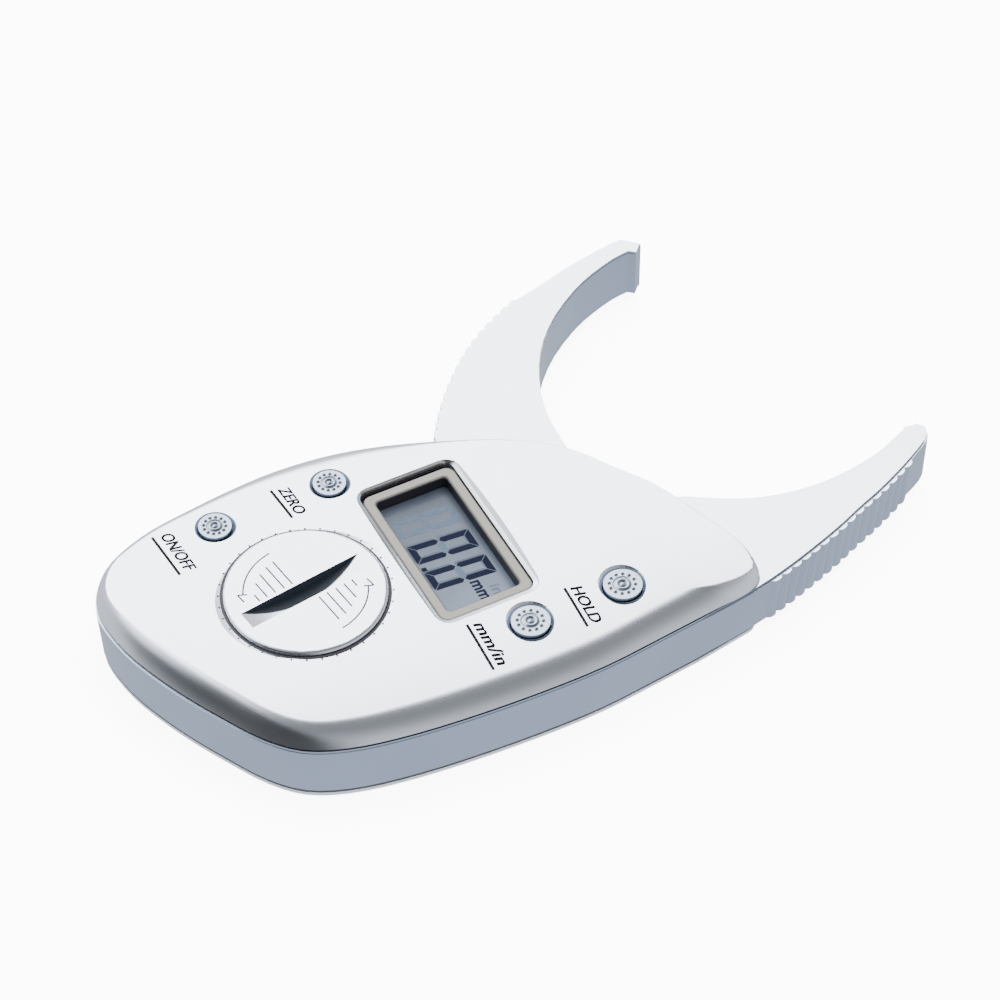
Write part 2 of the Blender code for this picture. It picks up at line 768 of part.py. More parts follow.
def make_pivot_pieces(steel, spring):
    """The pin that the jaw turns on, its washer and the clip in the pin's groove."""
    clip_bottom = GEAR_TOP + SEAM
    clip_top = clip_bottom + CLIP_THICKNESS
    seat = PIN_BOSS_TOP - PIN_SEAT_DEPTH + BORE_GAP
    neck = PIN_RADIUS - PIN_NECK
    add(
        "pivot_pin",
        [
            turned(
                [
                    (PIN_RADIUS, seat),
                    (PIN_RADIUS, clip_bottom - BORE_GAP),
                    (neck, clip_bottom - BORE_GAP),
                    (neck, clip_top + BORE_GAP),
                    (PIN_RADIUS, clip_top + BORE_GAP),
                    (PIN_RADIUS, clip_top + BORE_GAP + PIN_TIP),
                ],
                SMALL_ROUND,
            )
        ],
        steel,
    )
    bore = PIN_RADIUS + BORE_GAP
    washer_top = WASHER_BOTTOM + WASHER_THICKNESS
    add(
        "friction_washer",
        [
            turned(
                [
                    (bore, WASHER_BOTTOM),
                    (PIN_BOSS_RADIUS, WASHER_BOTTOM),
                    (PIN_BOSS_RADIUS, washer_top),
                    (bore, washer_top),
                ],
                SMALL_ROUND,
                bored=True,
            )
        ],
        spring,
    )
    half = (360 - CLIP_MOUTH_DEG) / 2
    steps = 12
    turns = [-half + 2 * half * i / steps for i in range(steps + 1)]
    grip = neck + BORE_GAP
    path = [polar(CLIP_RADIUS, t) for t in turns] + [polar(grip, t) for t in reversed(turns)]
    add("pivot_clip", [prism(path, clip_bottom, clip_top)], spring)


def make_return_spring(steel):
    """A flat torsion spring round the pivot boss, below the hub, with a leg at each end."""
    low = BASE_HEIGHT + SEAM + SPRING_WIRE / 2
    steps = math.ceil(SPRING_TURNS * 16)
    path = []
    for step in range(steps + 1):
        turn = SPRING_TURNS * 2 * math.pi * step / steps
        height = low + SPRING_PITCH * SPRING_TURNS * step / steps
        path.append(Vector((SPRING_RADIUS * math.cos(turn), SPRING_RADIUS * math.sin(turn), height)))
    first = path[0] + (path[0] - path[1]).normalized() * SPRING_LEG
    last = path[-1] + (path[-1] - path[-2]).normalized() * SPRING_LEG
    first.z = path[0].z
    last.z = path[-1].z
    add("return_spring", [tube([first] + path + [last], SPRING_WIRE / 2)], steel)


def tooth_half_angle(radius, teeth):
    """Half the angle that an involute tooth takes at a radius."""
    pitch = teeth * GEAR_MODULE / 2
    base = pitch * math.cos(math.radians(PRESSURE_DEG))

    def involute(r):
        lean = math.acos(min(1, base / r))
        return math.tan(lean) - lean

    at_pitch = math.pi / (2 * teeth) * (1 - TOOTH_SLACK_SHARE)
    return at_pitch + involute(pitch) - involute(radius)


def tooth_points(centre_deg, teeth):
    """One tooth, from root to root, anticlockwise."""
    pitch = teeth * GEAR_MODULE / 2
    radii = [pitch - 1.2 * GEAR_MODULE, pitch - 0.4 * GEAR_MODULE, pitch, pitch + 0.4 * GEAR_MODULE]
    radii.append(pitch + 0.85 * GEAR_MODULE)
    right = [(r, centre_deg - math.degrees(tooth_half_angle(r, teeth))) for r in radii]
    left = [(r, centre_deg + math.degrees(tooth_half_angle(r, teeth))) for r in reversed(radii)]
    return [polar(r, a) for r, a in right + left]


def make_sector_gear(material, parent):
    """The toothed sector on the hub, wide enough to stay in mesh from open to closed."""
    pitch_deg = 360 / SECTOR_TEETH
    spare = 2
    last = math.ceil(JAW_OPENING_DEG / pitch_deg) + spare
    teeth = list(range(-spare, last + 1))
    path = []
    for tooth in teeth:
        path += tooth_points(MESH_DEG + tooth * pitch_deg, SECTOR_TEETH)
    start = MESH_DEG + (teeth[-1] + 1) * pitch_deg
    end = MESH_DEG + 360 + (teeth[0] - 1) * pitch_deg
    steps = 14
    path += [polar(GEAR_BODY_RADIUS, start + (end - start) * i / steps) for i in range(steps + 1)]
    gear = add("sector_gear", [prism(path, GEAR_BOTTOM, GEAR_TOP)], material, parent)
    bore = PIN_RADIUS + BORE_GAP
    cut(gear, "sector_bore", turned([(bore, 0), (bore, FACE_TOP)], SMALL_ROUND))


def encoder_place():
    centre_distance = GEAR_MODULE * (SECTOR_TEETH + PINION_TEETH) / 2
    return polar(centre_distance, MESH_DEG)


def disc_bottom():
    return GEAR_BOTTOM - DISC_DROP - DISC_THICKNESS


def collar_bottom():
    return disc_bottom() - SEAM - COLLAR_HEIGHT


def make_encoder(plastic, dark, steel, black, parent):
    """The pinion and slotted disc on their axle, and the fork that reads the disc."""
    slack = 360 / PINION_TEETH
    first = MESH_DEG + 180 + slack / 2
    path = []
    for tooth in range(PINION_TEETH):
        path += tooth_points(first + tooth * slack, PINION_TEETH)
    low = GEAR_BOTTOM - EDGE_STEP
    high = GEAR_TOP + EDGE_STEP
    pinion = add("encoder_pinion", [prism(path, low, high)], plastic, parent)
    sleeve = turned(
        [
            (COLLAR_RADIUS, collar_bottom()),
            (COLLAR_RADIUS, collar_bottom() + COLLAR_HEIGHT),
            (SLEEVE_RADIUS, collar_bottom() + COLLAR_HEIGHT),
            (SLEEVE_RADIUS, low + GEAR_THICKNESS / 2),
        ],
        SMALL_ROUND,
    )
    join(pinion, "pinion_sleeve", sleeve)
    bore = AXLE_RADIUS + BORE_GAP
    cut(pinion, "pinion_bore", turned([(bore, 0), (bore, FACE_TOP)], SMALL_ROUND))
    bottom = disc_bottom()
    top = bottom + DISC_THICKNESS
    eye = SLEEVE_RADIUS + BORE_GAP
    disc = add(
        "encoder_disc",
        [turned([(eye, bottom), (DISC_RADIUS, bottom), (DISC_RADIUS, top), (eye, top)], 36, bored=True)],
        dark,
        parent,
    )
    pitch = 360 / DISC_SLOTS
    ring = DISC_RADIUS - DISC_SLOT_LENGTH
    slot_width = math.radians(pitch / 2) * ring
    slots = [
        block(
            DISC_SLOT_LENGTH,
            slot_width,
            bottom - OVERRUN,
            top + OVERRUN,
            polar(ring, i * pitch),
            i * pitch,
        )
        for i in range(DISC_SLOTS)
    ]
    cut(disc, "disc_slots", *slots)
    x, y = encoder_place()
    seat = PIN_BOSS_TOP - PIN_SEAT_DEPTH + BORE_GAP
    add("encoder_axle", [turned([(AXLE_RADIUS, seat), (AXLE_RADIUS, high)], SMALL_ROUND, (x, y))], steel)
    reach = DISC_RADIUS + SENSOR_DEPTH / 2 - SENSOR_REACH
    spot = Vector((x, y)) + polar(reach, MESH_DEG)
    fork = add(
        "encoder_sensor",
        [
            block(
                SENSOR_DEPTH,
                SENSOR_WIDTH,
                bottom - SEAM - SENSOR_ARM,
                BOARD_BOTTOM - SEAM,
                spot,
                MESH_DEG,
            )
        ],
        black,
    )
    gap_place = spot - polar(SENSOR_ARM, MESH_DEG)
    gap = block(
        SENSOR_DEPTH,
        SENSOR_WIDTH + 2 * OVERRUN,
        bottom - SEAM,
        top + SEAM,
        gap_place,
        MESH_DEG,
    )
    cut(fork, "sensor_gap", gap)


def make_board(material):
    """The circuit board, cut back where the arm of the moving jaw swings."""
    outline = body_outline()
    count = len(outline)
    inside = drawn_in(outline, [SIDE_WALL + BOARD_GAP] * count)
    kept = [p for i, p in enumerate(inside) if MOUTH_LEFT < i <= JAW_ROOT]
    left = [p for p in kept if p.y < (BOARD_TAB_Y if p.x > 0 else BOARD_EDGE_Y)]
    right_top = Vector((left[-1].x, BOARD_TAB_Y))
    corner = [
        right_top,
        Vector((BOARD_TAB_X, BOARD_TAB_Y)),
        Vector((BOARD_TAB_X, BOARD_EDGE_Y)),
        Vector((left[0].x + BOARD_GAP, BOARD_EDGE_Y)),
    ]
    board = add("circuit_board", [prism(left + corner, BOARD_BOTTOM, BOARD_TOP)], material)
    holes = []
    for spot in SCREW_PLACES:
        hole = BOSS_RADIUS + SEAM
        holes.append(turned([(hole, 0), (hole, FACE_TOP)], SMALL_ROUND, spot))
    for spot in BOARD_SCREW_PLACES:
        hole = BOARD_SCREW_RADIUS + SCREW_GAP
        holes.append(turned([(hole, 0), (hole, FACE_TOP)], SMALL_ROUND, spot))
    cut(board, "board_holes", *holes)


def make_display(bezel_paint, black, glass, rubber):
    """The bezel, the holder below it, the glass and its two rubber connectors."""
    centre = (0, DISPLAY_Y)
    bezel_top = FACE_TOP - BEZEL_SINK
    bezel_bottom = bezel_top - BEZEL_HEIGHT
    width = POCKET_WIDTH - 2 * BEZEL_GAP_X
    depth = POCKET_DEPTH - 2 * BEZEL_GAP_Y
    window_width = width - 2 * BEZEL_WIDTH
    window_depth = depth - 2 * BEZEL_WIDTH
    inner_corner = BEZEL_CORNER / 2
    ease = 2 * EDGE_STEP

    def ring(grow, height):
        return rounded_box(width + 2 * grow, depth + 2 * grow, BEZEL_CORNER + grow, height, centre)

    def window(grow, height):
        return rounded_box(
            window_width + 2 * grow, window_depth + 2 * grow, inner_corner + grow, height, centre
        )

    add(
        "display_bezel",
        [
            skin(
                [
                    ring(0, bezel_bottom),
                    ring(0, bezel_top - ease),
                    ring(-ease, bezel_top),
                    window(ease, bezel_top),
                    window(0, bezel_top - ease),
                    window(0, bezel_bottom),
                ],
                capped=False,
            )
        ],
        bezel_paint,
    )
    plate_top = bezel_bottom - SEAM
    plate_bottom = plate_top - HOLDER_PLATE
    glass_width = window_width + 2 * GLASS_BORDER
    glass_depth = window_depth + 2 * GLASS_BORDER
    skirt = BORE_GAP + HOLDER_WALL
    lip_x = BEZEL_GAP_X + HOLDER_LIP
    lip_y = BEZEL_GAP_Y + HOLDER_LIP

    def pocket(grow, height):
        return rounded_box(glass_width + 2 * grow, glass_depth + 2 * grow, inner_corner + grow, height, centre)

    def flange(height):
        return rounded_box(width + 2 * lip_x, depth + 2 * lip_y, BEZEL_CORNER, height, centre)

    foot = BOARD_TOP + SEAM
    glass_top = plate_bottom - SEAM
    add(
        "display_holder",
        [
            skin(
                [
                    pocket(skirt, foot),
                    pocket(skirt, plate_bottom),
                    flange(plate_bottom),
                    flange(plate_top),
                    window(0, plate_top),
                    window(0, glass_top + BORE_GAP),
                    pocket(BORE_GAP, glass_top + BORE_GAP),
                    pocket(BORE_GAP, foot),
                ],
                capped=False,
            )
        ],
        black,
    )
    glass_bottom = glass_top - GLASS_THICKNESS
    add("lcd_glass", [skin([pocket(0, glass_bottom), pocket(0, glass_top)])], glass)
    strip_y = glass_depth / 2 - STRIP_WIDTH
    for name, side in (("lcd_strip_upper", 1), ("lcd_strip_lower", -1)):
        spot = (0, DISPLAY_Y + side * strip_y)
        strip = block(window_width, STRIP_WIDTH, BOARD_TOP + BORE_GAP, glass_bottom - BORE_GAP, spot)
        add(name, [strip], rubber)


BUTTON_PLACE_SHARES = [(-0.324, -0.468), (-0.324, -0.255), (0.343, -0.097), (0.343, 0.075)]
BUTTON_NAMES = ["on_off", "zero", "mm_in", "hold"]
CAP_RADII = [SMALL_CAP_RADIUS, SMALL_CAP_RADIUS, LARGE_CAP_RADIUS, LARGE_CAP_RADIUS]
BUTTONS = [(name, *place(s), r) for name, s, r in zip(BUTTON_NAMES, BUTTON_PLACE_SHARES, CAP_RADII)]


def make_button(name, x, y, radius, paint, black):
    """A crowned cap held under the face by its flange, and the key switch that it presses."""
    rim = abs(x) + radius + CAP_FLANGE
    shoulder = dome_height(rim) - COVER_WALL - SEAM
    foot = shoulder - CAP_FLANGE_HEIGHT
    crown = dome_height(x) + CAP_PROUD
    edge = crown - CAP_CROWN
    axis = pivot("axis_" + name, x, y)
    outer = radius + CAP_FLANGE
    add(
        "button_" + name,
        [
            turned(
                [
                    (outer, foot),
                    (outer, shoulder),
                    (radius, shoulder),
                    (radius, edge),
                    (0.86 * radius, edge + 0.55 * CAP_CROWN),
                    (0.6 * radius, edge + 0.88 * CAP_CROWN),
                    (0.25 * radius, crown),
                ],
                24,
            )
        ],
        paint,
        axis,
    )
    base = BOARD_TOP + SEAM
    top = base + SWITCH_HEIGHT
    half = SWITCH_SIDE / 2
    switch = add("switch_" + name, [block(SWITCH_SIDE, SWITCH_SIDE, base, top, (x, y))], black)
    tip = foot - PRESS_GAP
    stem = turned([(PLUNGER_RADIUS, top - half / 2), (PLUNGER_RADIUS, tip)], SMALL_ROUND, (x, y))
    join(switch, "plunger_" + name, stem)


def make_battery_pieces(paint, rubber, steel, brass, parent):
    """The coin-slot cover with its lugs, the seal below it, the cell and both contacts."""
    top = FACE_TOP + LID_PROUD
    bottom = top - LID_THICKNESS
    skirt_outer = CELL_RADIUS + BORE_GAP + LID_SKIRT_WALL
    skirt_inner = CELL_RADIUS + BORE_GAP
    skirt_bottom = bottom - LID_SKIRT_HEIGHT
    rounded_edge = []
    for third in range(4):
        turn = math.radians(30 * third)
        out = LID_RADIUS - LID_EDGE * (1 - math.cos(turn))
        rounded_edge.append((out, top - LID_EDGE * (1 - math.sin(turn))))
    lid = add(
        "battery_cover",
        [
            turned(
                [
                    (skirt_inner, bottom),
                    (skirt_inner, skirt_bottom),
                    (skirt_outer, skirt_bottom),
                    (skirt_outer, bottom),
                    (LID_RADIUS, bottom),
                    *rounded_edge,
                ],
                2 * ROUND,
            )
        ],
        paint,
        parent,
    )
    lugs = []
    half = LUG_DEG / 2
    for lug in range(LUG_COUNT):
        turn = COIN_SLOT_DEG + 360 * lug / LUG_COUNT
        near = skirt_outer - LID_SKIRT_WALL / 2
        far = skirt_outer + LUG_LENGTH - BORE_GAP
        path = [polar(near, turn - half), polar(far, turn - half), polar(far, turn), polar(far, turn + half)]
        path.append(polar(near, turn + half))
        lugs.append(prism(path, skirt_bottom + EDGE_STEP, skirt_bottom + EDGE_STEP + LUG_HEIGHT))
    join(lid, "lid_lugs", *lugs)
    half_slot = COIN_SLOT_LENGTH / 2
    scoop = (half_slot**2 + COIN_SLOT_DEPTH**2) / (2 * COIN_SLOT_DEPTH)
    axis = polar(COIN_SLOT_WIDTH / 2, COIN_SLOT_DEG - 90)
    forward = polar(1, COIN_SLOT_DEG)
    steps = 12
    reach = math.asin((half_slot + OVERRUN) / scoop)
    arc = []
    for step in range(steps + 1):
        a = -reach + 2 * reach * step / steps
        across = forward * scoop * math.sin(a)
        arc.append(Vector((across.x, across.y, top - COIN_SLOT_DEPTH + scoop * (1 - math.cos(a)))))
    side = Vector((axis.x, axis.y, 0))
    cut(lid, "coin_slot", skin([[p - side for p in arc], [p + side for p in arc]]))
    seal_mid = bottom - BORE_GAP - SEAL_THICKNESS / 2
    tube = SEAL_THICKNESS / 2
    turns = [2 * math.pi * i / 6 for i in range(6)]
    section = [(SEAL_RADIUS + tube * math.cos(a), seal_mid + tube * math.sin(a)) for a in turns]
    add("battery_seal", [turned(section, ROUND, bored=True)], rubber, parent)
    cell_top = bottom - SEAM
    cell_bottom = cell_top - CELL_THICKNESS
    ease = 3 * EDGE_STEP
    add(
        "coin_cell",
        [
            turned(
                [
                    (CELL_RADIUS - 4 * ease, cell_bottom),
                    (CELL_RADIUS - ease, cell_bottom + ease),
                    (CELL_RADIUS, cell_bottom + 2 * ease),
                    (CELL_RADIUS, cell_top - ease),
                    (CELL_RADIUS - ease, cell_top),
                ],
                ROUND,
                (0, BATTERY_Y),
            )
        ],
        steel,
    )
    leaf_top = cell_bottom - SEAM
    leaf = block(CONTACT_REACH, CONTACT_WIDTH, leaf_top - CONTACT_THICKNESS, leaf_top, (0, BATTERY_Y))
    add("contact_minus", [leaf], brass)
    spot = (CELL_RADIUS + BORE_GAP + CONTACT_THICKNESS, BATTERY_Y)
    foot = BOARD_TOP + SEAM
    blade = block(CONTACT_THICKNESS, CONTACT_WIDTH, foot, foot + CONTACT_HEIGHT, spot)
    add("contact_plus", [blade], brass)


def make_screws(steel):
    """Countersunk screws through the base into the cover, and small ones that hold the board."""
    for number, spot in enumerate(SCREW_PLACES, 1):
        top = SCREW_SINK + SCREW_LENGTH
        add(
            f"housing_screw_{number}",
            [
                turned(
                    [
                        (SCREW_HEAD_RADIUS, SCREW_SINK),
                        (SCREW_RADIUS, SCREW_SINK + SCREW_HEAD_HEIGHT),
                        (SCREW_RADIUS, top - SCREW_RADIUS),
                        (SCREW_RADIUS / 3, top),
                    ],
                    SMALL_ROUND,
                    spot,
                )
            ],
            steel,
        )
    for number, spot in enumerate(BOARD_SCREW_PLACES, 1):
        head_top = BOARD_BOTTOM - BORE_GAP
        head_bottom = head_top - BOARD_SCREW_HEAD_HEIGHT
        add(
            f"board_screw_{number}",
            [
                turned(
                    [
                        (BOARD_SCREW_HEAD_RADIUS, head_bottom),
                        (BOARD_SCREW_HEAD_RADIUS, head_top),
                        (BOARD_SCREW_RADIUS, head_top),
                        (BOARD_SCREW_RADIUS, head_top + BOARD_SCREW_LENGTH),
                    ],
                    SMALL_ROUND,
                    spot,
                )
            ],
            steel,
        )


def main():
    clear_scene()
    silver = make_material("painted_silver", (0.78, 0.80, 0.84), 0.35, 0.6)
    jaw_silver = make_material("jaw_silver", (0.74, 0.76, 0.80), 0.42, 0.5)
    grey = make_material("base_grey", (0.30, 0.33, 0.38), 0.5)
    warm_grey = make_material("bezel_warm_grey", (0.46, 0.44, 0.38), 0.4)
    black = make_material("black_plastic", (0.02, 0.02, 0.025), 0.45)
    glass = make_material("lcd_grey", (0.26, 0.30, 0.36), 0.15)
    rubber = make_material("black_rubber", (0.03, 0.03, 0.03), 0.8)
    green = make_material("board_green", (0.02, 0.16, 0.07), 0.5)
    steel = make_material("bright_steel", (0.6, 0.6, 0.6), 0.3, 1.0)
    spring = make_material("spring_steel", (0.45, 0.45, 0.47), 0.35, 1.0)
    brass = make_material("contact_brass", (0.7, 0.5, 0.2), 0.3, 1.0)
    acetal = make_material("white_acetal", (0.8, 0.8, 0.76), 0.45)

    make_top_cover(silver)
    make_frame(jaw_silver)
    make_bottom_cover(grey)
    jaw_axis = pivot("axis_jaw", 0, 0)
    make_moving_jaw(jaw_silver, jaw_axis)
    make_sector_gear(acetal, jaw_axis)
    make_pivot_pieces(steel, spring)
    make_return_spring(spring)
    encoder_axis = pivot("axis_encoder", *encoder_place())
    make_encoder(acetal, black, steel, black, encoder_axis)
    make_board(green)
    make_display(warm_grey, black, glass, rubber)
    for name, x, y, radius in BUTTONS:
        make_button(name, x, y, radius, silver, black)
        cap = bpy.data.objects["button_" + name]
        cap.location = (0, 0, 0)
    lid_axis = pivot("axis_battery_cover", 0, BATTERY_Y)
    make_battery_pieces(silver, rubber, steel, brass, lid_axis)
    make_screws(steel)


main()
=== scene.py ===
import math

import bmesh
import bpy
from bpy.props import FloatProperty, FloatVectorProperty, IntProperty, PointerProperty
from bpy.types import Operator, Panel, PropertyGroup
from mathutils import Matrix, Vector
from mathutils.bvhtree import BVHTree


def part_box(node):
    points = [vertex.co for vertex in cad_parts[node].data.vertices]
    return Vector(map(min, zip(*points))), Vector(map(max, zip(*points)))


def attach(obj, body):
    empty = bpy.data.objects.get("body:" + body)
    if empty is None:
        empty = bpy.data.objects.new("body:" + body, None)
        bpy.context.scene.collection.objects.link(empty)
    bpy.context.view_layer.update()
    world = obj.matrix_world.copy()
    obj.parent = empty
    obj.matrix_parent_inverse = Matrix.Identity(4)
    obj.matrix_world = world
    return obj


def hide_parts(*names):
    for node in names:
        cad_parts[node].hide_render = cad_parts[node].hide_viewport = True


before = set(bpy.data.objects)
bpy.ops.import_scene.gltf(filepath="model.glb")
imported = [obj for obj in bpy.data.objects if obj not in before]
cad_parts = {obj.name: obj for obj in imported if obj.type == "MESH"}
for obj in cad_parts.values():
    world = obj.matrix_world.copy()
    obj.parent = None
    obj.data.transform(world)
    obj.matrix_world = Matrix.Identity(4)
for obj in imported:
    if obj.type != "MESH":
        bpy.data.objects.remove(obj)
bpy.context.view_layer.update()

bl_info = {
    "name": "Skinfold caliper finishes",
    "version": (1, 0, 0),
    "blender": (4, 5, 0),
    "location": "View3D > Sidebar > Caliper",
    "description": "Finishes, key caps, key names, display and studio for a skinfold caliper",
    "category": "Object",
}

MM = 0.001
KEYS = [(key, key + "_key") for key in ("on_off", "zero", "mm_in", "hold")]


# Colours and sizes


def linear(code):
    """Turns an sRGB hex value into the linear colour that Blender works in."""
    parts = [int(code[i : i + 2], 16) / 255 for i in (0, 2, 4)]
    return tuple(c / 12.92 if c <= 0.04045 else ((c + 0.055) / 1.055) ** 2.4 for c in parts)


def colour_prop(label, about, code):
    return FloatVectorProperty(
        name=label, description=about, subtype="COLOR", min=0.0, max=1.0, default=linear(code)
    )


def length_prop(label, about, size):
    return FloatProperty(
        name=label,
        description=about,
        default=size,
        min=0.0,
        subtype="DISTANCE",
        unit="LENGTH",
        precision=5,
    )


def angle_prop(label, about, degrees):
    turn = math.radians(degrees)
    return FloatProperty(
        name=label, description=about, default=turn, subtype="ANGLE", unit="ROTATION"
    )


def number_prop(label, about, value, low=0.0):
    return FloatProperty(name=label, description=about, default=value, min=low)


class CaliperColours(PropertyGroup):
    """Colours of the caliper's finishes, and of shade painted on walls, slot, wells and grooves."""

    face: colour_prop("Face", "Satin silver on the upward surfaces", "EEF1F8")
    # Painted shade: upright walls take this darker colour in place of the face colour.
    wall: colour_prop("Wall", "Satin silver on the walls of the frame and the jaws", "AEBAD0")
    base: colour_prop("Base", "Satin silver of the cover under the parting line", "C9CFDA")
    # Painted shade in the coin slot, standing in for the dark of its walls and floor.
    slot: colour_prop("Coin slot", "Shade on the walls of the coin slot", "2B323C")
    key: colour_prop("Key cap", "Satin silver of the key caps", "A3ABB8")
    # Painted shade: a grey ring laid on each key well's chamfer.
    rim: colour_prop("Well rim", "Grey rim round a key", "6F7A8A")
    bezel: colour_prop("Bezel", "Warm grey lacquer of the display frame", "6C6962")
    black: colour_prop("Black plastic", "Inner wall of the display", "17161B")
    glass: colour_prop("Reflector", "Grey-blue reflector behind the liquid crystal", "484F5C")
    segment: colour_prop("Segment", "Lit segments", "080C1C")
    ghost: colour_prop("Unlit segment", "Unlit segments, just visible", "404B58")
    ink: colour_prop("Ink", "Pad-printed key names", "0C0C0F")
    # Painted shade: the lines and dots are drawn dark where grooves and dimples would shade.
    line: colour_prop("Moulded line", "Fine lines and dots in the silver face", "2E333C")


class CaliperSizes(PropertyGroup):
    """Sizes of the markings and of the key caps' relief."""

    print_lift: length_prop("Print lift", "How far marks stand above the face", 0.02 * MM)
    letter_height: length_prop("Letter height", "Cap height of the key names", 2.0 * MM)
    bar_height: length_prop("Underline", "Height of the bar under a key name", 0.5 * MM)
    line_width: length_prop("Line width", "Width of the lines on the battery lid", 0.28 * MM)
    dot_radius: length_prop("Dot radius", "Radius of a dot round the battery lid", 0.2 * MM)
    dot_ring: length_prop("Dot ring", "Radius of the ring of dots", 14.15 * MM)
    dot_count: IntProperty(name="Dots", description="Dots round the lid", default=36, min=1)
    dimple_count: IntProperty(name="Dimples", description="On a key cap", default=12, min=1)
    dimple_radius: length_prop("Dimple radius", "Radius of a dimple on a key cap", 0.36 * MM)
    dimple_depth: length_prop("Dimple depth", "Depth of a dimple on a key cap", 0.32 * MM)
    ring_height: length_prop("Ring height", "Height of a key cap's raised ring", 0.13 * MM)
    digit_width: length_prop("Digit width", "Width of a display digit", 4.3 * MM)
    digit_height: length_prop("Digit height", "Height of a display digit", 10.8 * MM)
    segment_width: length_prop("Segment width", "Width of a display segment", 1.15 * MM)
    segment_gap: length_prop("Segment gap", "Half the gap between two segments", 0.1 * MM)


class CaliperStudio(PropertyGroup):
    """Camera and lights."""

    azimuth: angle_prop("Azimuth", "Direction of the camera round the caliper", 62.84)
    elevation: angle_prop("Elevation", "Height of the camera above the floor plane", 47.38)
    roll: angle_prop("Roll", "Tilt of the picture", -0.447)
    distance: length_prop("Distance", "From the camera to the middle of the picture", 0.6577)
    lens: number_prop("Lens", "Focal length in mm", 144.0, 1.0)
    floor_size: length_prop("Floor", "Width of the floor", 4.0)
    table_glow: number_prop("Table", "Light of the light table", 8.0)
    tent_light: number_prop("Tent", "Light of the tent on the far side", 6.6)


# Nodes


def add_node(tree, kind, inputs=None, **settings):
    """Adds a node, sets its properties and fills its sockets with values or outputs."""
    made = tree.nodes.new(kind)
    for key, value in settings.items():
        setattr(made, key, value)
    for key, value in (inputs or {}).items():
        socket = made.inputs[key]
        if isinstance(value, bpy.types.NodeSocket):
            tree.links.new(value, socket)
        else:
            socket.default_value = value
    return made


def maths(tree, operation, first, second):
    """The result of two values or sockets put together."""
    made = add_node(tree, "ShaderNodeMath", {0: first, 1: second}, operation=operation)
    return made.outputs["Value"]


def vector_maths(tree, operation, first, second, output="Value"):
    """The same for two vectors."""
    made = add_node(tree, "ShaderNodeVectorMath", {0: first, 1: second}, operation=operation)
    return made.outputs[output]


def ranged(tree, value, start, end, low=0.0, high=1.0, **settings):
    """A value that runs from low to high while another runs from start to end."""
    made = add_node(
        tree,
        "ShaderNodeMapRange",
        {"Value": value, "From Min": start, "From Max": end, "To Min": low, "To Max": high},
        **settings,
    )
    return made.outputs["Result"]


def blended(tree, share, first, second):
    """The first colour where the share is nought, the second where it is one."""
    made = add_node(tree, "ShaderNodeMixRGB", {"Fac": share, "Color1": first, "Color2": second})
    return made.outputs["Color"]


def cloud(tree, place, size_mm, detail, roughness=0.5):
    """Noise with its largest forms of a real size."""
    return add_node(
        tree,
        "ShaderNodeTexNoise",
        {
            "Vector": place.outputs["Object"],
            "Scale": 1000.0 / size_mm,
            "Detail": detail,
            "Roughness": roughness,
        },
    )


def facing_up(tree, low, high):
    """Nought on walls and one on upward faces, by the height of the surface's normal."""
    surface = add_node(tree, "ShaderNodeNewGeometry")
    split = add_node(tree, "ShaderNodeSeparateXYZ", {"Vector": surface.outputs["Normal"]})
    return ranged(tree, split.outputs["Z"], low, high)


# Materials

PLATING_ROUGH = 0.27
SHADE_LEAN = 1.13
SHADE_EDGE = 0.12 * MM
# Share of the painted slot shade's colour that the slot's floor keeps.
SLOT_FLOOR_SHADE = 0.3
RIM_EDGE = 0.1 * MM
FACE_DEPTHS = (0.08 * MM, 0.15 * MM)
GLASS_HALF = 13 * MM


def start_material(name):
    material = bpy.data.materials.new(name)
    material.use_nodes = True
    tree = material.node_tree
    return material, tree, tree.nodes["Principled BSDF"]


def set_sockets(shader, **values):
    names = {
        "colour": "Base Color",
        "metal": "Metallic",
        "rough": "Roughness",
        "ior": "IOR",
        "gloss": "Specular IOR Level",
        "coat": "Coat Weight",
        "coat_rough": "Coat Roughness",
        "glow_colour": "Emission Color",
        "glow": "Emission Strength",
    }
    for key, value in values.items():
        socket = shader.inputs[names[key]]
        socket.default_value = (*value, 1.0) if key.endswith("colour") else value


def grain(tree, shader, size_mm, depth_mm, share):
    """A fine surface grain in the bump, which is given back for the colour to follow."""
    place = add_node(tree, "ShaderNodeTexCoord")
    noise = cloud(tree, place, size_mm, 3.0, 0.6)
    bump = add_node(
        tree,
        "ShaderNodeBump",
        {"Height": noise.outputs["Fac"], "Strength": share, "Distance": depth_mm * MM},
    )
    tree.links.new(bump.outputs["Normal"], shader.inputs["Normal"])
    return place, noise


def mottled(tree, noise, colour, spread):
    """The colour, a little lighter and darker with the noise."""
    ramp = add_node(tree, "ShaderNodeValToRGB", {"Fac": noise.outputs["Fac"]})
    ends = ramp.color_ramp.elements
    ends[0].position = 0.35
    ends[1].position = 0.65
    ends[0].color = (*[c * (1 - spread) for c in colour], 1.0)
    ends[1].color = (*[min(1.0, c * (1 + spread)) for c in colour], 1.0)
    return ramp.outputs["Color"]


def start_plating(name):
    """A satin galvanic plating without its colour.

    The blasted grain is 0.05 mm, drawn at 0.25 mm so that it shows.
    """
    material, tree, shader = start_material(name)
    set_sockets(shader, metal=1.0, rough=PLATING_ROUGH)
    return material, tree, shader, *grain(tree, shader, 0.25, 0.02, 0.12)


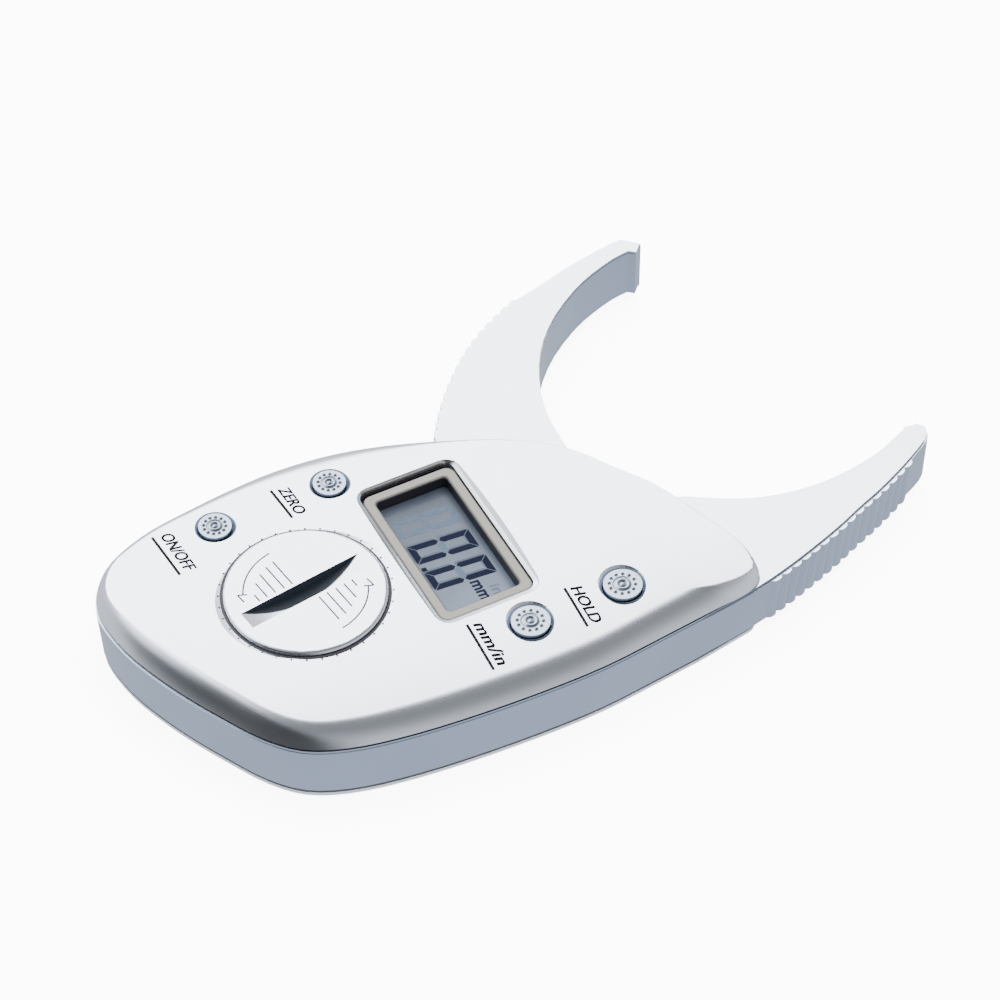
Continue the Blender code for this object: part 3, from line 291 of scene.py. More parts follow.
def satin_plated_abs(name, colours, walls=False, face="face"):
    """ABS with a satin galvanic plating.

    The eye sees a soft, slightly blue silver: white where it faces the light, and almost black
    where it mirrors the dark studio. With walls, upright faces get the darker wall colour:
    painted shade.
    """
    material, tree, shader, place, noise = start_plating(name)
    patches = cloud(tree, place, 18, 1.0)
    shown = mottled(tree, patches, getattr(colours, face), 0.015)
    if walls:
        wall = mottled(tree, patches, colours.wall, 0.03)
        # Painted shade: walls darker than upward faces, by the height of the normal.
        shown = blended(tree, facing_up(tree, 0.45, 0.9), wall, shown)
    tree.links.new(shown, shader.inputs["Base Color"])
    return material


def plated_lid_abs(name, colours, centre, across, top, slot_width, flat_radius):
    """The same plating on the battery lid, with the deep shade of the coin slot painted on.

    The far wall's painted shade leans over the slot's floor, further where the floor is deeper, so
    that the eye sees a dark lens with a bright end. The shaded part is also made matt and less
    metallic. The face and the lid's rim stay bare.
    """
    material, tree, shader, place, noise = start_plating(name)
    face = mottled(tree, noise, colours.face, 0.01)
    spot = place.outputs["Object"]
    split = add_node(tree, "ShaderNodeSeparateXYZ", {"Vector": spot})
    depth = maths(tree, "SUBTRACT", top, split.outputs["Z"])
    start = centre[0] * across[0] + centre[1] * across[1] - slot_width / 2
    along = vector_maths(tree, "DOT_PRODUCT", spot, (*across, 0.0))
    reach = maths(tree, "SUBTRACT", along, start)
    beyond = maths(tree, "SUBTRACT", reach, maths(tree, "MULTIPLY", depth, SHADE_LEAN))
    unshaded = ranged(tree, beyond, -SHADE_EDGE, SHADE_EDGE)
    face_level = ranged(tree, depth, *FACE_DEPTHS, 1.0, 0.0)
    lit = maths(tree, "MAXIMUM", unshaded, face_level)
    floor = facing_up(tree, 0.3, 0.8)
    flat = vector_maths(tree, "MULTIPLY", spot, (1.0, 1.0, 0.0), "Vector")
    away = vector_maths(tree, "DISTANCE", flat, (centre[0], centre[1], 0.0))
    rim = ranged(tree, away, flat_radius - RIM_EDGE, flat_radius)
    bare = maths(tree, "MAXIMUM", maths(tree, "MULTIPLY", lit, floor), rim)
    # Painted shade: the slot's walls take the slot colour, its floor a darker share of it.
    wall, ground = (*colours.slot, 1.0), (*[SLOT_FLOOR_SHADE * c for c in colours.slot], 1.0)
    deep = blended(tree, floor, wall, ground)
    for socket, source in (
        ("Base Color", blended(tree, bare, deep, face)),
        ("Metallic", ranged(tree, bare, 0.0, 1.0, 0.2, 1.0)),
        ("Roughness", ranged(tree, bare, 0.0, 1.0, 0.6, PLATING_ROUGH)),
    ):
        tree.links.new(source, shader.inputs[socket])
    return material


def lacquered_abs(name, colour, rough, metal):
    """Sprayed and cured lacquer on ABS: an even, quiet colour with an orange peel of 0.8 mm."""
    material, tree, shader = start_material(name)
    set_sockets(shader, metal=metal, rough=rough)
    place, noise = grain(tree, shader, 0.8, 0.015, 0.15)
    tree.links.new(mottled(tree, noise, colour, 0.03), shader.inputs["Base Color"])
    return material


def moulded_plastic(name, colour, rough, grain_mm=0.3):
    """Plastic or rubber straight from a spark-eroded mould: matt, with a grain of about 0.3 mm."""
    material, tree, shader = start_material(name)
    set_sockets(shader, rough=rough, ior=1.53)
    place, noise = grain(tree, shader, grain_mm, 0.03, 0.2)
    tree.links.new(mottled(tree, noise, colour, 0.08), shader.inputs["Base Color"])
    return material


def display_glass(name, colour):
    """Twisted-nematic glass over a brushed reflector.

    The eye sees a grey-blue sheet with a faint cloud, darker on the far side as painted shade.
    """
    material, tree, shader = start_material(name)
    set_sockets(shader, rough=0.4, ior=1.52, gloss=0.25, coat=0.08, coat_rough=0.05)
    place = add_node(tree, "ShaderNodeTexCoord")
    patches = cloud(tree, place, 5, 2.0)
    split = add_node(tree, "ShaderNodeSeparateXYZ", {"Vector": place.outputs["Object"]})
    # Painted shade: the colour is scaled down towards the far side and a little up on the near
    # side.
    shaded = add_node(
        tree,
        "ShaderNodeVectorMath",
        {
            0: mottled(tree, patches, colour, 0.07),
            "Scale": ranged(tree, split.outputs["X"], -GLASS_HALF, GLASS_HALF, 0.42, 1.1),
        },
        operation="SCALE",
    )
    tree.links.new(shaded.outputs["Vector"], shader.inputs["Base Color"])
    return material


def printed_ink(name, colour, rough=0.7):
    """A dense, matt film, a little uneven at a scale of about 0.2 mm, as of pad-printed ink.

    Lit crystal and the painted shade of fine moulded lines look the same from arm's length.
    """
    material, tree, shader = start_material(name)
    set_sockets(shader, rough=rough, ior=1.5, gloss=0.12)
    noise = cloud(tree, add_node(tree, "ShaderNodeTexCoord"), 0.2, 2.0)
    tree.links.new(mottled(tree, noise, colour, 0.12), shader.inputs["Base Color"])
    return material


def turned_metal(name, colour, rough):
    """Turned, stamped or drawn metal: bright, with fine tool marks of about 0.15 mm."""
    material, tree, shader = start_material(name)
    set_sockets(shader, metal=1.0, rough=rough)
    place, noise = grain(tree, shader, 0.15, 0.01, 0.2)
    tree.links.new(mottled(tree, noise, colour, 0.06), shader.inputs["Base Color"])
    return material


def dress(material, *names):
    """Gives CAD nodes a material."""
    for name in names:
        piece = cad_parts[name]
        if not piece.material_slots:
            piece.data.materials.append(material)
        for slot in piece.material_slots:
            slot.material = material


# Geometry helpers

BAND_CREASE = 30
ZONE_CREASE = 4


def show(name, mesh, material, body):
    """Puts a mesh in the scene with its material, riding on a CAD body."""
    mesh.materials.clear()
    mesh.materials.append(material)
    piece = bpy.data.objects.new(name, mesh)
    bpy.context.scene.collection.objects.link(piece)
    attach(piece, body)
    return piece


def surface_of(name):
    """A tree that finds points on a CAD node's surface."""
    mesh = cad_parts[name].data
    points = [v.co.copy() for v in mesh.vertices]
    return BVHTree.FromPolygons(points, [tuple(p.vertices) for p in mesh.polygons])


def lay_on(bm, tree, lift, step):
    """Cuts a flat mesh every step along x, then drops it on the surface with the lift."""
    low = min(v.co.x for v in bm.verts)
    high = max(v.co.x for v in bm.verts)
    for i in range(1, int((high - low) / step) + 1):
        bmesh.ops.bisect_plane(
            bm,
            geom=bm.verts[:] + bm.edges[:] + bm.faces[:],
            plane_co=(low + i * step, 0, 0),
            plane_no=(1, 0, 0),
        )
    for vert in bm.verts:
        hit = tree.ray_cast(Vector((vert.co.x, vert.co.y, 0.1)), Vector((0, 0, -1)))
        if hit[0] is None:
            raise RuntimeError("a mark lies off its surface")
        vert.co.z = hit[0].z + lift


def finish_mesh(name, bm):
    mesh = bpy.data.meshes.new(name)
    bm.to_mesh(mesh)
    bm.free()
    return mesh


def add_flat(bm, other):
    """Adds a second mesh to a first one."""
    holder = finish_mesh("part", other)
    bm.from_mesh(holder)
    bpy.data.meshes.remove(holder)


def shade_smooth(mesh, crease):
    """Shades a mesh smooth, apart from edges over an angle in degrees."""
    mesh.polygons.foreach_set("use_smooth", [True] * len(mesh.polygons))
    mesh.set_sharp_from_angle(angle=math.radians(crease))
    return mesh


def flat_loops(loops):
    """A flat mesh with one face for each loop of points."""
    bm = bmesh.new()
    for loop in loops:
        bm.faces.new([bm.verts.new((p[0], p[1], 0.0)) for p in loop])
    bm.normal_update()
    for face in bm.faces:
        if face.normal.z < 0:
            face.normal_flip()
    return bm


def word_mesh(words, left, right, height, shear, weight):
    """Letters as a flat mesh between left and right points along their baseline."""
    curve = bpy.data.curves.new("words", "FONT")
    curve.body = words
    curve.size = 1.0
    curve.shear = shear
    curve.offset = weight
    curve.space_character = 1.03
    holder = bpy.data.objects.new("words", curve)
    bpy.context.scene.collection.objects.link(holder)
    bpy.context.view_layer.update()
    depsgraph = bpy.context.evaluated_depsgraph_get()
    mesh = bpy.data.meshes.new_from_object(holder.evaluated_get(depsgraph))
    bpy.data.objects.remove(holder)
    bpy.data.curves.remove(curve)
    bm = bmesh.new()
    bm.from_mesh(mesh)
    bpy.data.meshes.remove(mesh)
    bmesh.ops.remove_doubles(bm, verts=bm.verts[:], dist=1e-5)
    low = Vector((min(v.co.x for v in bm.verts), min(v.co.y for v in bm.verts)))
    high = Vector((max(v.co.x for v in bm.verts), max(v.co.y for v in bm.verts)))
    along = Vector(right) - Vector(left)
    across = Vector((-along.y, along.x)).normalized()
    for vert in bm.verts:
        u = (vert.co.x - low.x) / (high.x - low.x)
        v = (vert.co.y - low.y) / (high.y - low.y)
        spot = Vector(left) + along * u + across * height * v
        vert.co = (spot.x, spot.y, 0.0)
    return bm


def middle_of(low, high):
    """The middle of a box, seen from above."""
    return Vector(((low[0] + high[0]) / 2, (low[1] + high[1]) / 2))


def polar(centre, radius, degrees):
    """A point round a centre, by its distance and direction."""
    turn = math.radians(degrees)
    return Vector(centre) + Vector((math.cos(turn), math.sin(turn))) * radius


def bar_loop(start, end, width):
    along = (Vector(end) - Vector(start)).normalized()
    side = Vector((-along.y, along.x)) * width / 2
    start, end = Vector(start), Vector(end)
    return [start - side, end - side, end + side, start + side]


def arc_loop(centre, radius, start_deg, end_deg, width, steps=16):
    """A bar bent round a centre."""
    turns = [start_deg + (end_deg - start_deg) * i / steps for i in range(steps + 1)]
    outer = [polar(centre, radius + width / 2, turn) for turn in turns]
    inner = [polar(centre, radius - width / 2, turn) for turn in turns]
    return outer + inner[::-1]


def rounded_loop(low, high, corner, height, steps=6):
    """A rectangle with round corners as a loop of points at a height."""
    spots = []
    for right, upper, start in ((1, 1, 0), (0, 1, 90), (0, 0, 180), (1, 0, 270)):
        x = high[0] - corner if right else low[0] + corner
        y = high[1] - corner if upper else low[1] + corner
        for i in range(steps + 1):
            spot = polar((x, y), corner, start + 90 * i / steps)
            spots.append((spot.x, spot.y, height))
    return spots


def ring_loop(centre, radius, height, steps=144):
    """A circle as a loop of points at a height."""
    spots = [polar(centre, radius, 360 * i / steps) for i in range(steps)]
    return [(spot.x, spot.y, height) for spot in spots]


def show_band(name, loops, material):
    """Shows a closed band through loops of the same count, the last joined to the first."""
    bm = bmesh.new()
    rows = [[bm.verts.new(spot) for spot in loop] for loop in loops]
    count = len(rows[0])
    for row, other in zip(rows, rows[1:] + rows[:1]):
        for k in range(count):
            after = (k + 1) % count
            bm.faces.new((row[k], row[after], other[after], other[k]))
    bmesh.ops.recalc_face_normals(bm, faces=bm.faces[:])
    show(name, shade_smooth(finish_mesh(name, bm), BAND_CREASE), material, "housing")


def smooth_copy(node, crease, zones=()):
    """The CAD node's own shape, shaded smooth apart from edges over an angle in degrees.

    In a zone, which is a centre and two half widths, only the flattest edges are smooth.
    """
    bm = bmesh.new()
    bm.from_mesh(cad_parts[node].data)
    bmesh.ops.remove_doubles(bm, verts=bm.verts[:], dist=0.002 * MM)
    for face in bm.faces:
        face.smooth = True
    for edge in bm.edges:
        if len(edge.link_faces) != 2:
            edge.smooth = False
            continue
        middle = (edge.verts[0].co + edge.verts[1].co) / 2
        limit = crease
        for x, y, half_x, half_y in zones:
            if abs(middle.x - x) < half_x and abs(middle.y - y) < half_y:
                limit = ZONE_CREASE
        edge.smooth = edge.calc_face_angle(0.0) < math.radians(limit)
    return finish_mesh(node + "_surface", bm)


def zone_of(node, margin):
    """The rectangle round a node, with a margin, as a centre and two half widths."""
    low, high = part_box(node)
    return (
        (low[0] + high[0]) / 2,
        (low[1] + high[1]) / 2,
        (high[0] - low[0]) / 2 + margin,
        (high[1] - low[1]) / 2 + margin,
    )


def resurface(material, body, crease, name, zones=()):
    """Shows a CAD node through a smooth copy, whose large faces set the shading."""
    piece = show(name + "_surface", smooth_copy(name, crease, zones), material, body)
    weigh = piece.modifiers.new("weigh", "WEIGHTED_NORMAL")
    weigh.keep_sharp = True
    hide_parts(name)
    return piece.data


def edge_outline(node, height):
    """The outermost points of a resurfaced node at a height, in order round the node's middle."""
    low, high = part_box(node)
    middle = middle_of(low, high)
    furthest = {}
    for vert in bpy.data.objects[node + "_surface"].data.vertices:
        if abs(vert.co.z - height) < 0.01 * MM:
            off = Vector((vert.co.x, vert.co.y)) - middle
            turn = round(math.atan2(off.y, off.x), 4)
            if off.length > furthest.get(turn, (0.0,))[0]:
                furthest[turn] = (off.length, vert.co.x, vert.co.y)
    return [furthest[turn][1:] for turn in sorted(furthest)]


def grown(outline, distance):
    """The outline moved outwards by a distance."""
    count = len(outline)
    moved = []
    for i in range(count):
        before, here, after = (Vector(outline[(i + k) % count]) for k in (-1, 0, 1))
        along = (after - before).normalized()
        moved.append((here.x + along.y * distance, here.y - along.x * distance))
    return moved


# Shell and inside

COVER_CREASE = 24
PLAIN_CREASE = 34
RIBBED_CREASE = 36
KEY_ZONE = 0.6 * MM
LID_ZONE = 2.2 * MM
BEZEL_ZONE = 2.6 * MM
SLOT_TURN = 97.6
SLOT_WIDTH = 3.6 * MM
LID_FLAT = 12.6 * MM
LID_SINK = 0.02 * MM
CORNER_FROM = (20 * MM, 18 * MM)
CORNER_SPOT = (30.18 * MM, 18.93 * MM)
CORNER_SLOPE = 0.1607
FOOT_INSET = 0.5 * MM
FOOT_HEIGHT = 0.1 * MM


def trim_corner(mesh):
    """Draws the base cover's front right corner in, so that it stays behind the wall's foot."""
    for vert in mesh.vertices:
        if vert.co.x > CORNER_FROM[0] and vert.co.y > CORNER_FROM[1]:
            limit = CORNER_SPOT[0] - CORNER_SLOPE * (vert.co.y - CORNER_SPOT[1])
            vert.co.x = min(vert.co.x, limit - (FOOT_INSET if vert.co.z < FOOT_HEIGHT else 0.0))


class CALIPER_OT_finish_shell(Operator):
    """Finish the covers, the frame, the moving jaw, the battery lid and the display's parts"""

    bl_idname = "caliper.finish_shell"
    bl_label = "Finish shell"

    def execute(self, context):
        colours = context.scene.caliper_colours
        cover = satin_plated_abs("satin_plated_abs_cover", colours)
        zones = [zone_of("button_" + key, KEY_ZONE) for key, body in KEYS]
        zones += [zone_of("battery_cover", LID_ZONE), zone_of("display_bezel", BEZEL_ZONE)]
        resurface(cover, "housing", COVER_CREASE, "top_cover", zones)
        # Painted shade on the upright walls of the frame and the moving jaw.
        plating_with_painted_wall_shade = satin_plated_abs("satin_plated_abs_frame", colours, walls=True)
        resurface(plating_with_painted_wall_shade, "housing", RIBBED_CREASE, "frame")
        resurface(plating_with_painted_wall_shade, "jaw", RIBBED_CREASE, "moving_jaw")
        base = lacquered_abs("silver_lacquered_abs_base", colours.base, 0.35, 0.9)
        trim_corner(resurface(base, "housing", PLAIN_CREASE, "bottom_cover"))
        low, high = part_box("battery_cover")
        lid = plated_lid_abs(
            "satin_plated_abs_lid",
            colours,
            [(a + b) / 2 for a, b in zip(low, high)],
            polar((0, 0), 1.0, SLOT_TURN - 90),
            high[2],
            SLOT_WIDTH,
            LID_FLAT,
        )
        for vert in resurface(lid, "battery_lid", PLAIN_CREASE, "battery_cover").vertices:
            vert.co.z -= LID_SINK
        bezel = lacquered_abs("warm_grey_lacquered_abs", colours.bezel, 0.4, 0.35)
        resurface(bezel, "housing", PLAIN_CREASE, "display_bezel")
        dress(moulded_plastic("black_moulded_abs", colours.black, 0.35), "display_holder")
        dress(display_glass("reflective_display_glass", colours.glass), "lcd_glass")
        return {"FINISHED"}


# Name, colour, roughness and nodes, with the size of the grain in mm for the plastics.
METALS = [
    ("turned_steel", "B9BBC0", 0.3, ["pivot_pin", "encoder_axle"]),
    ("zinc_plated_steel", "C4C6C8", 0.38, [f"housing_screw_{i}" for i in range(1, 5)]),
    ("blackened_steel", "3A3B40", 0.42, [f"board_screw_{i}" for i in range(1, 4)]),
    ("drawn_spring_steel", "A6A8AD", 0.28, ["return_spring", "pivot_clip"]),
    ("nickel_plated_brass", "D8D2BE", 0.3, ["contact_minus", "contact_plus"]),
    ("stamped_stainless_steel", "C9CACC", 0.24, ["coin_cell"]),
]
PLASTICS = [
    ("natural_acetal_gears", "E4E1D6", 0.45, 0.3, ["sector_gear", "encoder_pinion"]),
    ("white_acetal_washer", "DDDCD6", 0.5, 0.3, ["friction_washer"]),
    ("black_acetal_disc", "18181B", 0.45, 0.3, ["encoder_disc"]),
    ("black_sensor_housing", "1B1C20", 0.4, 0.3, ["encoder_sensor"]),
    ("green_solder_resist", "1E5B3A", 0.4, 1.2, ["circuit_board"]),
    ("pink_silicone_rubber", "C98F94", 0.6, 0.3, ["lcd_strip_upper", "lcd_strip_lower"]),
    ("black_nitrile_rubber", "141416", 0.65, 0.3, ["battery_seal"]),
    ("black_switch_housing", "1E1F23", 0.45, 0.3, [f"switch_{key}" for key, body in KEYS]),
]


class CALIPER_OT_finish_inside(Operator):
    """Finish the hinge, gears, encoder, board, cell, contacts, seals and screws"""

    bl_idname = "caliper.finish_inside"
    bl_label = "Finish inside"

    def execute(self, context):
        for name, code, rough, nodes in METALS:
            dress(turned_metal(name, linear(code), rough), *nodes)
        for name, code, rough, grain_mm, nodes in PLASTICS:
            dress(moulded_plastic(name, linear(code), rough, grain_mm), *nodes)
        return {"FINISHED"}


# Liners, and black rings of painted shade, with lengths in their loops in mm

BEZEL_BAND = 1.7 * MM
LINER_CORNER = 0.8 * MM
LINER_LOOPS = ((0.02, -0.3), (0.02, -2.4), (0.12, -2.4), (0.12, -0.3))
POCKET_GAP_X = 1.18 * MM
POCKET_GAP_Y = 0.78 * MM
SURROUND_NEAR = 0.2 * MM
SURROUND_LEFT = 1.0 * MM
SURROUND_CORNER = 1.8 * MM
SURROUND_SPREAD = 0.5 * MM
SURROUND_LOOPS = ((1.0, -1.0), (1.0, 0.55), (0.0, 0.15), (0.0, -1.0))
# The black ring of painted shade in the battery lid's gap.
LID_GAP_SHADE_DROP = 0.74 * MM
LID_GAP_SHADE_START = 0.04 * MM
LID_GAP_SHADE_WIDTH = 0.5 * MM
LID_GAP_SHADE_OUTER = 0.15 * MM
LID_GAP_SHADE_INNER = 0.4 * MM
# The black band of painted shade along the parting line.
PARTING_LEVEL = 0.5 * MM
PARTING_SHADE_LOOPS = ((0.0, 1.3), (0.07, 1.34), (0.07, 1.85), (0.0, 1.9))


class CALIPER_OT_add_liners(Operator):
    """Line the display window and its surround; put black painted shade in the lid's gap and
    parting line
    """

    bl_idname = "caliper.add_liners"
    bl_label = "Add liners"

    def execute(self, context):
        colours = context.scene.caliper_colours
        black = moulded_plastic("black_moulded_abs_liner", colours.black, 0.5)
        # Black for the rings of painted shade in the lid's gap and along the parting line.
        rubber = moulded_plastic("black_silicone_rubber_liner", colours.black, 0.6)
        silver = satin_plated_abs("satin_plated_abs_surround", colours)
        low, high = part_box("display_bezel")
        loops = []
        for inset, rise in LINER_LOOPS:
            back = BEZEL_BAND + inset * MM
            near = (low[0] + back, low[1] + back)
            far = (high[0] - back, high[1] - back)
            loops.append(rounded_loop(near, far, LINER_CORNER, high[2] + rise * MM))
        show_band("display_window_liner", loops, black)
        loops = []
        for share, rise in SURROUND_LOOPS:
            left = SURROUND_LEFT + share * (POCKET_GAP_X - SURROUND_LEFT)
            right = SURROUND_NEAR + share * (POCKET_GAP_X - SURROUND_NEAR)
            ends = SURROUND_NEAR + share * (POCKET_GAP_Y - SURROUND_NEAR)
            near = (low[0] - left, low[1] - ends)
            far = (high[0] + right, high[1] + ends)
            corner = SURROUND_CORNER + SURROUND_SPREAD * share
            loops.append(rounded_loop(near, far, corner, high[2] + rise * MM))
        show_band("display_surround", loops, silver)
        # Painted shade: a black ring in the battery lid's gap.
        low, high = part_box("battery_cover")
        centre = middle_of(low, high)
        radius = (high[0] - low[0]) / 2
        top = high[2] - LID_GAP_SHADE_DROP
        loops = [
            ring_loop(centre, radius + LID_GAP_SHADE_START, top),
            ring_loop(centre, radius + LID_GAP_SHADE_WIDTH, top),
            ring_loop(centre, radius + LID_GAP_SHADE_WIDTH, top - LID_GAP_SHADE_OUTER),
            ring_loop(centre, radius + LID_GAP_SHADE_START, top - LID_GAP_SHADE_INNER),
        ]
        show_band("lid_gap_seal", loops, rubber)
        # Painted shade: a black band round the base cover's edge, under the frame's foot.
        outline = edge_outline("bottom_cover", PARTING_LEVEL)
        loops = [
            [(x, y, height * MM) for x, y in grown(outline, grow * MM)]
            for grow, height in PARTING_SHADE_LOOPS
        ]
        show_band("parting_seal", loops, rubber)
        return {"FINISHED"}


# Key caps. The relief's places and widths are shares of the cap's radius.

FLANGE = 0.7 * MM
SHOULDER = 0.3 * MM
CROWN = 0.16 * MM
CROWN_EDGE = 0.05 * MM
KEY_PROUD = 0.4 * MM
CAP_RINGS = 36
CAP_CREASE = 50
CAP_ROUNDING = 0.995
SECTORS_PER_DIMPLE = 12
DIMPLE_PLACE = 0.66
RING_PLACE = 0.30
RING_WIDTH = 0.11
GROOVES = ((0.46, 0.06), (0.17, 0.05))
DOT_WIDTH = 0.13
DOT_HEIGHT = 0.7
WELL_GAP = 0.2 * MM
WELL_CHAMFER = 0.5 * MM
RIM_OUT = 0.8
RIM_DROP = 0.2
RIM_LIFT = 0.03 * MM
RIM_BACK = 0.1 * MM
RIM_STEPS = 72


def swell(off):
    """The height of a round bump whose rim is at one."""
    return 0.5 + 0.5 * math.cos(math.pi * off) if off < 1 else 0.0


def cap_mesh(name, low, high, sizes):
    """A key cap in the CAD cap's space: crowned, with dimples round a raised ring and dot."""
    centre = middle_of(low, high)
    radius = (high[0] - low[0]) / 2 - FLANGE
    foot, crown = low[2], high[2]
    shoulder = foot + SHOULDER
    edge = crown - CROWN
    sectors = SECTORS_PER_DIMPLE * sizes.dimple_count
    turns = [2 * math.pi * k / sectors for k in range(sectors)]
    bm = bmesh.new()
    loops = []

    def height(r, turn):
        share = r / radius
        middle = DIMPLE_PLACE * radius
        step = 2 * math.pi / sizes.dimple_count
        off = (turn / step + 0.5) % 1.0 - 0.5
        apart = math.hypot(r - middle, off * step * middle)
        z = edge + (CROWN - sizes.ring_height) * (1 - share**3.0)
        z -= sizes.dimple_depth * swell(apart / sizes.dimple_radius)
        z += sizes.ring_height * swell(abs(r - RING_PLACE * radius) / (RING_WIDTH * radius))
        for spot, width in GROOVES:
            z -= sizes.ring_height * swell(abs(share - spot) / width)
        return z + DOT_HEIGHT * sizes.ring_height * swell(r / (DOT_WIDTH * radius))

    def add_loop(reach, heights):
        loop = []
        for turn, z in zip(turns, heights):
            x = centre.x + reach * math.cos(turn)
            y = centre.y + reach * math.sin(turn)
            loop.append(bm.verts.new((x, y, z)))
        loops.append(loop)

    for i in range(1, CAP_RINGS + 1):
        r = radius * (i / CAP_RINGS)
        share = 1.0 if i < CAP_RINGS else CAP_ROUNDING
        add_loop(r * share, [height(r, turn) for turn in turns])
    for reach, z in (
        (radius, edge - CROWN_EDGE),
        (radius, shoulder),
        (radius + FLANGE, shoulder),
        (radius + FLANGE, foot),
    ):
        add_loop(reach, [z] * sectors)
    top = bm.verts.new((centre.x, centre.y, height(0.0, 0.0)))
    for k in range(sectors):
        bm.faces.new((top, loops[0][k], loops[0][(k + 1) % sectors]))
    for row, (inner, outer) in enumerate(zip(loops, loops[1:])):
        for k in range(sectors):
            after = (k + 1) % sectors
            face = bm.faces.new((inner[k], outer[k], outer[after], inner[after]))
            # The cap's edge, side, shoulder and flange take the second material: black, as painted
            # shade in the gap round the cap.
            face.material_index = 1 if row >= CAP_RINGS else 0
    bm.faces.new(loops[-1]).material_index = 1
    bmesh.ops.recalc_face_normals(bm, faces=bm.faces[:])
    return shade_smooth(finish_mesh(name, bm), CAP_CREASE)


def add_well_shade_rim(key, low, high, material):
    """A grey ring of painted shade, laid on the chamfer of a key's well in the cover."""
    centre = middle_of(low, high)
    hole = (high[0] - low[0]) / 2 - FLANGE + WELL_GAP
    wide = hole + RIM_OUT * WELL_CHAMFER
    face = high[2] - KEY_PROUD
    near, far = face - WELL_CHAMFER, face - RIM_DROP * WELL_CHAMFER
    loops = [
        ring_loop(centre, hole, near + RIM_LIFT, RIM_STEPS),
        ring_loop(centre, wide, far + RIM_LIFT, RIM_STEPS),
        ring_loop(centre, wide, far - RIM_BACK, RIM_STEPS),
        ring_loop(centre, hole, near - RIM_BACK, RIM_STEPS),
    ]
    show_band("well_rim_" + key, loops, material)


class CALIPER_OT_add_key_caps(Operator):
    """Make the four dimpled key caps and the rims of their wells; rims and cap sides are painted
    shade
    """

    bl_idname = "caliper.add_key_caps"
    bl_label = "Add key caps"

    def execute(self, context):
        colours = context.scene.caliper_colours
        sizes = context.scene.caliper_sizes
        material = satin_plated_abs("satin_plated_abs_caps", colours, face="key")
        # Black for the caps' sides: painted shade in the gaps round the caps.
        rubber = moulded_plastic("black_silicone_key_mat", colours.black, 0.6)
        # Grey rings of painted shade on the wells' chamfers.
        painted_shade_rims = lacquered_abs("grey_lacquered_abs_well_rim", colours.rim, 0.4, 0.8)
        for key, body in KEYS:
            low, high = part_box("button_" + key)
            piece = show("cap_" + key, cap_mesh("cap_" + key, low, high, sizes), material, body)
            piece.data.materials.append(rubber)
            add_well_shade_rim(key, low, high, painted_shade_rims)
            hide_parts("button_" + key)
        return {"FINISHED"}


# Key names: the ends of the baseline, those of the bar, and the height, in mm

NAMES = [
    ("on_off", "ON/OFF", (-22.9, -54.55), (-13.2, -54.3), (-23.35, -55.75), (-13.1, -55.3), 2.15),
    ("zero", "ZERO", (-23.5, -33.1), (-16.3, -32.95), (-23.8, -34.1), (-16.1, -33.75), 2.0),
    ("mm_in", "mm/in", (18.1, -18.15), (27.2, -18.25), (17.7, -18.95), (27.5, -19.15), 2.1),
    ("hold", "HOLD", (18.5, -0.7), (26.4, -0.85), (18.1, -1.45), (26.5, -1.7), 2.0),
]
NAME_HEIGHT = 2.0 * MM
NAME_SHEAR = 0.22
NAME_WEIGHT = 0.02
STRIKE_MM = 0.06
NAME_STEP = 0.8 * MM


class CALIPER_OT_add_key_names(Operator):
    """Print the four key names with their underlines on the face"""

    bl_idname = "caliper.add_key_names"
    bl_label = "Add key names"

    def execute(self, context):
        colours = context.scene.caliper_colours
        sizes = context.scene.caliper_sizes
        ink = printed_ink("pad_printed_black_ink", colours.ink)
        tree = surface_of("top_cover")
        scale = sizes.letter_height / NAME_HEIGHT
        for key, words, left, right, bar_left, bar_right, height in NAMES:
            left, right = Vector(left) * MM, Vector(right) * MM
            bm = word_mesh(words, left, right, height * MM * scale, NAME_SHEAR, NAME_WEIGHT)
            # Struck twice, a little apart, which thickens the upright strokes.
            along = (right - left).normalized() * STRIKE_MM * MM
            first = bm.verts[:]
            made = bmesh.ops.duplicate(bm, geom=bm.verts[:] + bm.edges[:] + bm.faces[:])
            second = [part for part in made["geom"] if isinstance(part, bmesh.types.BMVert)]
            for verts, way in ((first, 1), (second, -1)):
                for vert in verts:
                    vert.co.x += along.x * way
                    vert.co.y += along.y * way
            ends = Vector(bar_left) * MM, Vector(bar_right) * MM
            add_flat(bm, flat_loops([bar_loop(*ends, sizes.bar_height)]))
            lay_on(bm, tree, sizes.print_lift, NAME_STEP)
            show("name_" + key, finish_mesh("name_" + key, bm), ink, "housing")
        return {"FINISHED"}


# Marks on the battery lid, in mm and degrees

LINE_SPOTS = [1.0, 2.55, 4.2, 5.8, 7.3]
LINE_START = 2.35
LINE_REACH = 8.3
ARROW_RADIUS = 10.1
ARROW_START = 10
ARROW_END = 67
ARROW_TIP = 77
BARB_TURN = 68
BARB_OUT = 0.9 * MM
BARB_IN = 0.7 * MM
LID_STEP = 4 * MM
DOT_STEP = 30 * MM


